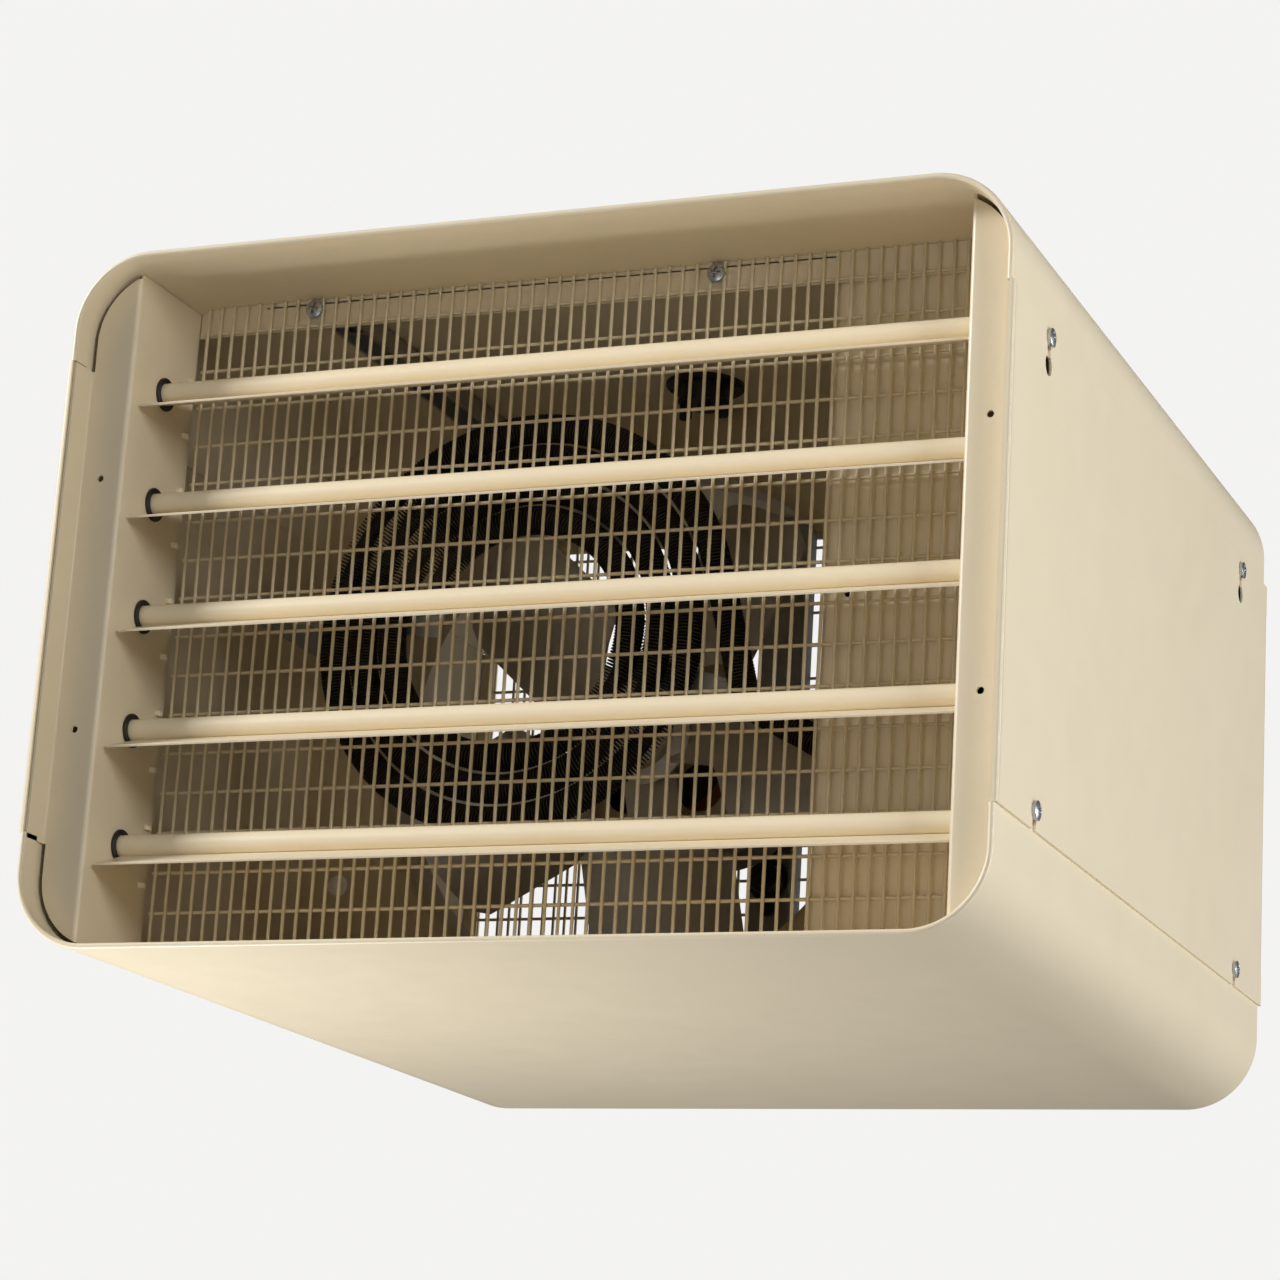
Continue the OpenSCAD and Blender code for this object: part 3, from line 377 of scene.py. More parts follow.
@dataclass(frozen=True)
class PlatedMetal(Finish):
    """Zinc plating with clouds and fine scratches.

    Attributes:
        grain: Scratches to the metre.
    """

    grain: float = 2600.0

    def fill(self, graph: Graph) -> None:
        """Draws the plating.

        Args:
            graph: The empty tree.
        """
        place = graph.place()
        clouds = graph.ramp(graph.noise(place, 260.0, 4.0, 0.6), 0.3, 0.7)
        scratch = graph.noise(graph.scaled(place, (1.0, 0.12, 0.3)), self.grain, 2.0)
        graph.surface(
            Base_Color=graph.blend(clouds, self.colour, self.second),
            Metallic=1.0,
            Roughness=self.roughness + (scratch - 0.5) * 0.2 + clouds * 0.06,
            Normal=graph.bump(scratch, 0.12, 0.0001),
        )


@dataclass(frozen=True)
class SpangledZinc(Finish):
    """Hot dipped sheet with zinc crystals.

    Attributes:
        crystals: Crystals to the metre.
    """

    crystals: float = 150.0

    def fill(self, graph: Graph) -> None:
        """Draws the crystals.

        Args:
            graph: The empty tree.
        """
        place = graph.place()
        grey = graph.cells(place, self.crystals)
        haze = graph.noise(place, 40.0, 4.0, 0.6)
        graph.surface(
            Base_Color=graph.blend(grey * 0.6 + haze * 0.4, self.colour, self.second),
            Metallic=0.85,
            Roughness=self.roughness + (grey - 0.5) * 0.16 + (haze - 0.5) * 0.1,
            Normal=graph.bump(grey, 0.08, 0.0001),
        )


@dataclass(frozen=True)
class BrushedMetal(Finish):
    """Rolled or turned bare metal with long fine lines.

    Attributes:
        stretch: How the lines run: small along the line.
        grain: Lines to the metre.
        metallic: Share of bare metal.
    """

    stretch: Triple = (1.0, 1.0, 0.03)
    grain: float = 1800.0
    metallic: float = 1.0

    def fill(self, graph: Graph) -> None:
        """Draws the lines.

        Args:
            graph: The empty tree.
        """
        place = graph.place()
        lines = graph.noise(graph.scaled(place, self.stretch), self.grain, 3.0, 0.6)
        haze = graph.ramp(graph.noise(place, 24.0, 4.0, 0.6), 0.3, 0.72)
        graph.surface(
            Base_Color=graph.blend(haze * 0.7 + lines * 0.3, self.colour, self.second),
            Metallic=self.metallic,
            Roughness=self.roughness + (lines - 0.5) * 0.22 + haze * 0.08,
            Normal=graph.bump(lines, 0.1, 0.0001),
        )


@dataclass(frozen=True)
class Moulded(Finish):
    """Moulded plastic, phenolic or glazed ceramic.

    Attributes:
        coat: Weight of the gloss on top.
        grain: Texture marks to the metre.
    """

    coat: float = 0.0
    grain: float = 1500.0

    def fill(self, graph: Graph) -> None:
        """Draws the moulding's skin.

        Args:
            graph: The empty tree.
        """
        place = graph.place()
        skin = graph.noise(place, self.grain, 3.0, 0.6)
        dust = graph.ramp(graph.noise(place, 90.0, 4.0, 0.6), 0.42, 0.8)
        graph.surface(
            Base_Color=graph.blend(dust, self.colour, self.second),
            Roughness=self.roughness + (skin - 0.5) * 0.12 + dust * 0.08,
            Coat_Weight=self.coat,
            Coat_Roughness=0.15,
            Normal=graph.bump(skin, 0.12, 0.00012),
        )


@dataclass(frozen=True)
class HotSteel(Finish):
    """Oxidised steel of the heating coil, with straw patches where it ran hot.

    Attributes:
        straw: Colour of the warmer patches.
    """

    straw: Triple = (0.19, 0.13, 0.075)

    def fill(self, graph: Graph) -> None:
        """Draws the oxide.

        Args:
            graph: The empty tree.
        """
        place = graph.place()
        clouds = graph.ramp(graph.noise(place, 30.0, 4.0, 0.6), 0.3, 0.7)
        scale = graph.noise(place, 1100.0, 3.0, 0.6)
        oxide = graph.blend(clouds, self.colour, self.second)
        tint = graph.ramp(graph.noise(place, 17.0, 3.0), 0.52, 0.75)
        graph.surface(
            Base_Color=graph.blend(tint, oxide, self.straw),
            Metallic=0.35,
            Roughness=self.roughness + (scale - 0.5) * 0.2,
            Normal=graph.bump(scale, 0.2, 0.0001),
        )


@dataclass(frozen=True)
class Layered(Finish):
    """Stack of sheets or layers of wire, seen as fine bands.

    Attributes:
        bands: Layers to the metre.
        across: Axis that the layers are counted along.
        metallic: Share of bare metal.
    """

    bands: float = 1500.0
    across: Axis = Axis.Y
    metallic: float = 0.8

    def fill(self, graph: Graph) -> None:
        """Draws the layers.

        Args:
            graph: The empty tree.
        """
        place = graph.place()
        wave = graph.add(
            "ShaderNodeTexWave",
            {"wave_type": "BANDS", "bands_direction": self.across.value, "wave_profile": "SIN"},
            Vector=place, Scale=self.bands / 20.0, Distortion=0.3, Detail=1.0,
        )
        layers = graph.wire(wave, "Fac")
        haze = graph.noise(place, 60.0, 4.0, 0.6)
        graph.surface(
            Base_Color=graph.blend(layers * 0.6 + haze * 0.4, self.colour, self.second),
            Metallic=self.metallic,
            Roughness=self.roughness + (haze - 0.5) * 0.16,
            Normal=graph.bump(layers, 0.25, 0.0002),
        )


ALMOND = PowderCoat("almond_powder_coat", Slot.ALMOND, (0.90, 0.785, 0.575), (0.87, 0.75, 0.54), 0.40)
# Painted shade: a darker, more saturated copy of the almond coat for the fan plate and motor bracket, standing in
# for the shade and warm bounced light inside the chamber.
SHADED_ALMOND = PowderCoat("almond_painted_shade_coat", Slot.ALMOND, (0.68, 0.54, 0.325), (0.62, 0.485, 0.28), 0.44)
# Painted shade: a darker copy of the almond coat for the grille wires, standing in for the dimmer light on the mesh.
SHADED_WIRE_COAT = PowderCoat("almond_wire_painted_shade_coat", Slot.ALMOND, (0.78, 0.67, 0.46), (0.71, 0.60, 0.40), 0.44)
# Painted light: a paler copy of the almond coat for the hole plug, so that it shows bright in the shaded chamber.
BRIGHTENED_PLUG_COAT = PowderCoat("plug_painted_light_coat", Slot.ALMOND, (0.97, 0.94, 0.85), (0.93, 0.89, 0.79), 0.34)
ZINC = PlatedMetal("zinc_plated_screw", Slot.ZINC, (0.58, 0.60, 0.62), (0.44, 0.46, 0.49), 0.27)
GALVANISED = SpangledZinc("galvanised_sheet", Slot.GALVANISED, (0.42, 0.42, 0.42), (0.56, 0.56, 0.55), 0.38)
BLACK = Moulded("black_moulded_plastic", Slot.BLACK, (0.012, 0.012, 0.012), (0.03, 0.028, 0.026), 0.42)
SWITCH = Moulded("black_switch_cap", Slot.BLACK, (0.02, 0.019, 0.018), (0.045, 0.042, 0.038), 0.33, 0.2)
SHEATH = HotSteel("oxidised_finned_sheath", Slot.SHEATH, (0.028, 0.023, 0.018), (0.055, 0.046, 0.036), 0.62,
                  (0.10, 0.07, 0.04))
# The blades' warm grey is partly the aluminium's own colour and partly a painted warm reflection of the tan chamber.
ALUMINIUM = BrushedMetal("rolled_aluminium_blade", Slot.ALUMINIUM, (0.76, 0.74, 0.69), (0.62, 0.60, 0.55), 0.40,
                         metallic=0.7)
# Painted shade and painted reflection: the motor's bells and rotor get a dark brownish grey that stands in for the
# shade and the brown reflections in the middle of the fan.
SHADED_MOTOR_BELL = BrushedMetal("motor_bell_painted_shade", Slot.GALVANISED, (0.17, 0.155, 0.13), (0.12, 0.108, 0.09), 0.52,
                    (1.0, 1.0, 1.0), 900.0, 0.7)
STEEL = BrushedMetal("turned_steel", Slot.ZINC, (0.50, 0.50, 0.51), (0.40, 0.40, 0.41), 0.30, (0.05, 1.0, 0.05),
                     2400.0)
CERAMIC = Moulded("glazed_ceramic", Slot.CERAMIC, (0.80, 0.77, 0.68), (0.66, 0.61, 0.50), 0.32, 0.5, 700.0)
LAMINATION = Layered("steel_laminations", Slot.LAMINATION, (0.20, 0.20, 0.205), (0.33, 0.33, 0.335), 0.42)
COPPER = Layered("enamelled_copper_windings", Slot.COPPER, (0.42, 0.15, 0.05), (0.62, 0.27, 0.10), 0.35, 1600.0)
CORE = Layered("varnished_core", Slot.SHEATH, (0.06, 0.052, 0.045), (0.12, 0.10, 0.085), 0.45)
BRONZE = PlatedMetal("sintered_bronze", Slot.BRONZE, (0.62, 0.42, 0.17), (0.50, 0.33, 0.13), 0.42)
PHENOLIC = Moulded("brown_phenolic", Slot.PHENOLIC, (0.035, 0.026, 0.021), (0.06, 0.046, 0.038), 0.36, 0.2)
TAPE = Layered("wrapped_tape", Slot.TAPE, (0.62, 0.50, 0.17), (0.72, 0.60, 0.26), 0.5, 260.0, Axis.Z, 0.0)
GREEN = PlatedMetal("green_passivated_screw", Slot.GREEN, (0.06, 0.24, 0.09), (0.10, 0.30, 0.12), 0.34)


# ----------------------------------------------------------------------------------------------------- shapes


@dataclass
class Shape:
    """Points in millimetres and the faces between them.

    Attributes:
        points: Array of n by 3.
        faces: Corner numbers of each face, counter-clockwise from outside.
    """

    points: np.ndarray
    faces: list[tuple[int, ...]]

    def moved(self, matrix: Matrix) -> Shape:
        """Copies the shape to another place.

        Args:
            matrix: The move; one that mirrors also turns the faces over.

        Returns:
            The moved copy.
        """
        m = np.array(matrix, float)
        points = self.points @ m[:3, :3].T + m[:3, 3]
        faces = self.faces if np.linalg.det(m[:3, :3]) > 0 else [f[::-1] for f in self.faces]
        return Shape(points, faces)

    def at(self, x: float, y: float, z: float) -> Shape:
        """Copies the shape to another point.

        Args:
            x: Move to the right.
            y: Move back.
            z: Move up.

        Returns:
            The moved copy.
        """
        return self.moved(Matrix.Translation((x, y, z)))

    def turned(self, degrees: float, axis: Axis) -> Shape:
        """Turns a copy about an axis through the origin.

        Args:
            degrees: The angle.
            axis: The axis.

        Returns:
            The turned copy.
        """
        return self.moved(Matrix.Rotation(math.radians(degrees), 4, axis.value))

    def mirrored(self, side: int) -> Shape:
        """Mirrors a copy left to right where side is -1.

        Args:
            side: 1 keeps it and -1 mirrors it.

        Returns:
            The copy.
        """
        return self.moved(Matrix.Diagonal((side, 1, 1, 1)))

    def flipped(self, side: int) -> Shape:
        """Mirrors a copy top to bottom where side is -1.

        Args:
            side: 1 keeps it and -1 mirrors it.

        Returns:
            The copy.
        """
        return self.moved(Matrix.Diagonal((1, 1, side, 1)))


def joined(shapes: Iterable[Shape]) -> Shape:
    """Puts several shapes into one.

    Args:
        shapes: The shapes.

    Returns:
        One shape that holds them all.
    """
    points, faces, count = [], [], 0
    for shape in shapes:
        points.append(shape.points)
        faces += [tuple(i + count for i in f) for f in shape.faces]
        count += len(shape.points)
    return Shape(np.vstack(points), faces)


def arc(centre: Pair, radius: float, start: float, end: float, steps: int) -> list[Pair]:
    """Points on an arc.

    Args:
        centre: Its centre.
        radius: Its radius.
        start: First angle in degrees.
        end: Last angle in degrees.
        steps: Number of chords.

    Returns:
        The points, both ends included.
    """
    angles = np.radians(np.linspace(start, end, steps + 1))
    return [(centre[0] + radius * math.cos(a), centre[1] + radius * math.sin(a)) for a in angles]


def lathe(profile: Sequence[Pair], axis: Axis, sides: int = 48) -> Shape:
    """Turns a closed outline about an axis.

    Args:
        profile: (radius, distance along the axis) points of the closed outline.
        axis: The axis.
        sides: Number of sides.

    Returns:
        The turned shape, with its axis through the origin.
    """
    angles = np.linspace(0, 2 * math.pi, sides, endpoint=False)
    rings = np.array([[(r * math.cos(a), r * math.sin(a), h) for r, h in profile] for a in angles])
    n = len(profile)
    faces = []
    for i in range(sides):
        for j in range(n):
            k = (j + 1) % n
            if profile[j][0] < 1e-9 and profile[k][0] < 1e-9:
                continue
            a, b = i * n, (i + 1) % sides * n
            faces.append((a + j, b + j, b + k, a + k))
    shape = Shape(rings.reshape(-1, 3), faces)
    if axis is Axis.X:
        return shape.moved(Matrix(((0, 0, 1, 0), (1, 0, 0, 0), (0, 1, 0, 0), (0, 0, 0, 1))))
    if axis is Axis.Y:
        return shape.moved(Matrix(((1, 0, 0, 0), (0, 0, 1, 0), (0, -1, 0, 0), (0, 0, 0, 1))))
    return shape


def drill(radius: float, start: float, end: float, axis: Axis, sides: int) -> Shape:
    """Round cutter.

    Args:
        radius: Its radius.
        start: Where it starts along the axis.
        end: Where it ends.
        axis: The axis.
        sides: Number of sides.

    Returns:
        The cutter, with its axis through the origin.
    """
    return lathe([(0, start), (radius, start), (radius, end), (0, end)], axis, sides)


def sweep(path: np.ndarray, radius: float, sides: int = 10) -> Shape:
    """Round bar along a line.

    Args:
        path: Points of the line, n by 3.
        radius: The bar's radius.
        sides: Number of sides.

    Returns:
        The bar, with closed ends.
    """
    path = np.asarray(path, float)
    tangents = np.gradient(path, axis=0)
    tangents /= np.linalg.norm(tangents, axis=1)[:, None]
    start = np.array((0.0, 0.0, 1.0)) if abs(tangents[0][2]) < 0.9 else np.array((1.0, 0.0, 0.0))
    side = np.cross(tangents[0], start)
    angles = np.linspace(0, 2 * math.pi, sides, endpoint=False)
    rings = []
    for point, tangent in zip(path, tangents):
        side = side - tangent * (side @ tangent)
        side /= np.linalg.norm(side)
        up = np.cross(tangent, side)
        rings.append(point + radius * (np.cos(angles)[:, None] * side + np.sin(angles)[:, None] * up))
    faces: list[tuple[int, ...]] = [tuple(range(sides))[::-1]]
    for i in range(len(path) - 1):
        for j in range(sides):
            k = (j + 1) % sides
            faces.append((i * sides + j, i * sides + k, (i + 1) * sides + k, (i + 1) * sides + j))
    faces.append(tuple((len(path) - 1) * sides + j for j in range(sides)))
    return Shape(np.vstack(rings), faces)


def sheet(path: Sequence[Pair], thickness: float, reach: Callable[[int], Pair], along: Axis) -> Shape:
    """Bent sheet: a line, thickened, that runs along an axis.

    Args:
        path: Points of the middle of the sheet, across the axis: XY for Z, YZ for X, XZ for Y.
        thickness: The sheet's thickness.
        reach: Gives a point's lowest and highest place along the axis, from its number.
        along: The axis.

    Returns:
        The closed solid.
    """
    line = np.asarray(path, float)
    steps = np.diff(line, axis=0)
    steps /= np.maximum(np.linalg.norm(steps, axis=1), 1e-9)[:, None]
    before = np.vstack([steps[:1], steps])
    after = np.vstack([steps, steps[-1:]])
    for i in range(1, len(before)):
        if not before[i].any():
            before[i] = before[i - 1]
    for i in range(len(after) - 2, -1, -1):
        if not after[i].any():
            after[i] = after[i + 1]
    middle = before + after
    middle /= np.linalg.norm(middle, axis=1)[:, None]
    widen = 1 / np.maximum((middle * before).sum(1), 0.3)
    normal = np.stack([-middle[:, 1], middle[:, 0]], 1) * (widen * thickness / 2)[:, None]
    points = []
    for i, (point, n) in enumerate(zip(line, normal)):
        low, high = reach(i)
        for (u, v), w in ((point + n, low), (point + n, high), (point - n, high), (point - n, low)):
            points.append({Axis.Z: (u, v, w), Axis.X: (w, u, v), Axis.Y: (u, w, v)}[along])
    faces: list[tuple[int, ...]] = [(3, 2, 1, 0)]
    for i in range(len(line) - 1):
        a, b = 4 * i, 4 * i + 4
        for j in range(4):
            k = (j + 1) % 4
            faces.append((a + j, a + k, b + k, b + j))
    last = 4 * (len(line) - 1)
    faces.append((last, last + 1, last + 2, last + 3))
    return Shape(np.array(points, float), faces)


def plate(loops: Sequence[Sequence[Pair]], thickness: float, edge: float = 0.2) -> Shape:
    """Flat sheet with holes, drawn in X and Y, from Z 0 to its thickness.

    Args:
        loops: The outline and then the holes.
        thickness: The sheet's thickness.
        edge: Size of the rounded edges.

    Returns:
        The sheet.
    """
    curve = bpy.data.curves.new("drawing", "CURVE")
    curve.dimensions, curve.fill_mode = "2D", "BOTH"
    curve.extrude, curve.bevel_depth, curve.bevel_resolution = thickness / 2 - edge, edge, 1
    curve.offset = -edge
    for loop in loops:
        spline = curve.splines.new("POLY")
        spline.points.add(len(loop) - 1)
        spline.points.foreach_set("co", [c for x, y in loop for c in (x, y, 0.0, 1.0)])
        spline.use_cyclic_u = True
    drawn = bpy.data.objects.new("drawing", curve)
    mesh = bpy.data.meshes.new_from_object(drawn)
    points = np.array([v.co for v in mesh.vertices], float).reshape(-1, 3)
    faces = [tuple(p.vertices) for p in mesh.polygons]
    bpy.data.objects.remove(drawn)
    bpy.data.curves.remove(curve)
    bpy.data.meshes.remove(mesh)
    points[:, 2] += thickness / 2
    return Shape(points, faces)


FACING_FRONT = Matrix(((1, 0, 0, 0), (0, 0, 1, 0), (0, 1, 0, 0), (0, 0, 0, 1)))
FACING_SIDE = Matrix(((0, 0, 1, 0), (1, 0, 0, 0), (0, 1, 0, 0), (0, 0, 0, 1)))


def circle(x: float, y: float, radius: float, steps: int = 32) -> list[Pair]:
    """Closed circle for ``plate``.

    Args:
        x: Centre, first coordinate.
        y: Centre, second coordinate.
        radius: Its radius.
        steps: Number of chords.

    Returns:
        Its points.
    """
    return arc((x, y), radius, 0, 360, steps)[:-1]


def to_mesh(name: str, shape: Shape) -> bpy.types.Mesh:
    """Turns a shape into a mesh in the frame's metres.

    Args:
        name: The mesh's name.
        shape: The shape, in the case's millimetres.

    Returns:
        The mesh, welded, with its faces turned outwards.
    """
    points = (shape.points - (0.0, CASE_DEPTH / 2, CASE_HEIGHT / 2)) * METRES
    mesh = bpy.data.meshes.new(name)
    mesh.from_pydata([tuple(p) for p in points], [], shape.faces)
    work = bmesh.new()
    work.from_mesh(mesh)
    bmesh.ops.remove_doubles(work, verts=work.verts, dist=WELD)
    bmesh.ops.dissolve_degenerate(work, edges=work.edges, dist=WELD / 2)
    bmesh.ops.recalc_face_normals(work, faces=work.faces)
    work.to_mesh(mesh)
    work.free()
    return mesh


def piece(node: str, shape: Shape, finish: Finish, body: str = Body.CASE.value, edge: float = 0.0,
          angle: float = 32.0, cutters: Sequence[Shape] = ()) -> bpy.types.Object:
    """Makes a piece that stands for one CAD node.

    Args:
        node: The node.
        shape: Its shape.
        finish: Its finish.
        body: The body that it rides on.
        edge: Rounding of its sharp edges, in millimetres.
        angle: Edges sharper than this many degrees stay sharp.
        cutters: Shapes that are cut out of it.

    Returns:
        The piece.
    """
    mesh = to_mesh(node + "_made", shape)
    made = bpy.data.objects.new(node + "_made", mesh)
    bpy.context.scene.collection.objects.link(made)
    for cutter in cutters:
        tool = bpy.data.objects.new("cutter", to_mesh("cutter", cutter))
        bpy.context.scene.collection.objects.link(tool)
        cut = made.modifiers.new("cut", "BOOLEAN")
        cut.operation, cut.object, cut.solver = "DIFFERENCE", tool, "EXACT"
        cut.use_self = True
        bpy.context.view_layer.update()
        evaluated = made.evaluated_get(bpy.context.evaluated_depsgraph_get())
        carved = bpy.data.meshes.new_from_object(evaluated)
        made.modifiers.clear()
        made.data = carved
        bpy.data.objects.remove(tool)
    made.data.shade_smooth()
    made.data.set_sharp_from_angle(angle=math.radians(angle))
    if edge > 0:
        bevel = made.modifiers.new("edges", "BEVEL")
        bevel.width, bevel.segments = edge * METRES, 2
        bevel.limit_method, bevel.angle_limit = "ANGLE", math.radians(ROUNDED)
        bevel.harden_normals = True
        bevel.use_clamp_overlap = True
    even = made.modifiers.new("even_normals", "WEIGHTED_NORMAL")
    even.keep_sharp = True
    made.data.materials.clear()
    made.data.materials.append(finish.material())
    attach(made, body)
    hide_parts(node)
    log.info("%s: %d faces", made.name, len(made.data.polygons))
    return made


def repaint(node: str, finish: Finish) -> None:
    """Gives a CAD node a finish and keeps its shape.

    Args:
        node: The node.
        finish: The finish.
    """
    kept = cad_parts[node]
    kept.data.materials.clear()
    kept.data.materials.append(finish.material())
    for polygon in kept.data.polygons:
        polygon.material_index = 0
    log.info("%s: kept, %s", node, finish.name)


def pan_screw(radius: float, height: float, shank: float, length: float) -> Shape:
    """Pan head screw with a cross recess; its head stands along +Z.

    Args:
        radius: Head radius.
        height: Head height.
        shank: Shank radius.
        length: Shank length.

    Returns:
        The screw.
    """
    sides, domes = 44, 12
    angles = np.linspace(0, 2 * math.pi, sides, endpoint=False)
    rings, faces = [], []
    for i in range(domes + 1):
        share = i / domes
        r = radius * math.sin(share * math.pi / 2)
        dome = height * (1 - 0.34 * (r / radius) ** 2) if share < 1 else height * 0.5
        ring = []
        for a in angles:
            x, y = r * math.cos(a), r * math.sin(a)
            inside = min(abs(x), abs(y)) < 0.13 * radius + 0.02 and max(abs(x), abs(y)) < 0.56 * radius
            depth = 0.55 * height * (1 - 0.5 * r / radius) if inside else 0.0
            ring.append((x, y, dome - depth))
        rings.append(ring)
    below = [(radius, height * 0.12), (0.96 * radius, 0.0), (shank, 0.0), (shank, -length),
             (0.0, -length - shank * 0.6)]
    rings += [[(r * math.cos(a), r * math.sin(a), h) for a in angles] for r, h in below]
    for i in range(len(rings) - 1):
        for j in range(sides):
            k = (j + 1) % sides
            faces.append((i * sides + j, (i + 1) * sides + j, (i + 1) * sides + k, i * sides + k))
    return Shape(np.array(rings).reshape(-1, 3), faces)


# --------------------------------------------------------------------------------------------------- the case


@dataclass
class CaseShape:
    """Outline of the case that its pieces share.

    Attributes:
        width: Width across the shells.
        height: Height.
        depth: Depth.
        corner: Outside radius of the long corners.
        sheet: Sheet thickness.
    """

    width: float = 422.6
    height: float = CASE_HEIGHT
    depth: float = CASE_DEPTH
    corner: float = 34.0
    sheet: float = SHEET

    @property
    def inside_x(self) -> float:
        """Inner face of the shells' sides."""
        return self.width / 2 - self.sheet

    @property
    def inside_z(self) -> float:
        """Inner face of the shells' top and bottom."""
        return self.height / 2 - self.sheet

    @property
    def inside_r(self) -> float:
        """Inside radius of the long corners."""
        return self.corner - self.sheet

    def reach_z(self, x: float, gap: float = 0.0) -> float:
        """Half height of the inside at a place across the case.

        Args:
            x: Distance from the middle.
            gap: Distance kept from the shells.

        Returns:
            The half height.
        """
        return self.reach(abs(x) - self.inside_x + self.inside_r, self.inside_z, gap)

    def reach_x(self, z: float, gap: float = 0.0) -> float:
        """Half width of the inside at a height.

        Args:
            z: Distance from the middle.
            gap: Distance kept from the shells.

        Returns:
            The half width.
        """
        return self.reach(abs(z) - self.inside_z + self.inside_r, self.inside_x, gap)

    def reach(self, over: float, flat: float, gap: float) -> float:
        """Half size of the inside beside a long corner.

        Args:
            over: How far the place lies within the corner's arc.
            flat: Half size where there is no corner.
            gap: Distance kept from the shells.

        Returns:
            The half size.
        """
        if over <= 0:
            return flat - gap
        return flat - self.inside_r + math.sqrt(max(0.0, (self.inside_r - gap) ** 2 - over ** 2))


CASE = CaseShape()


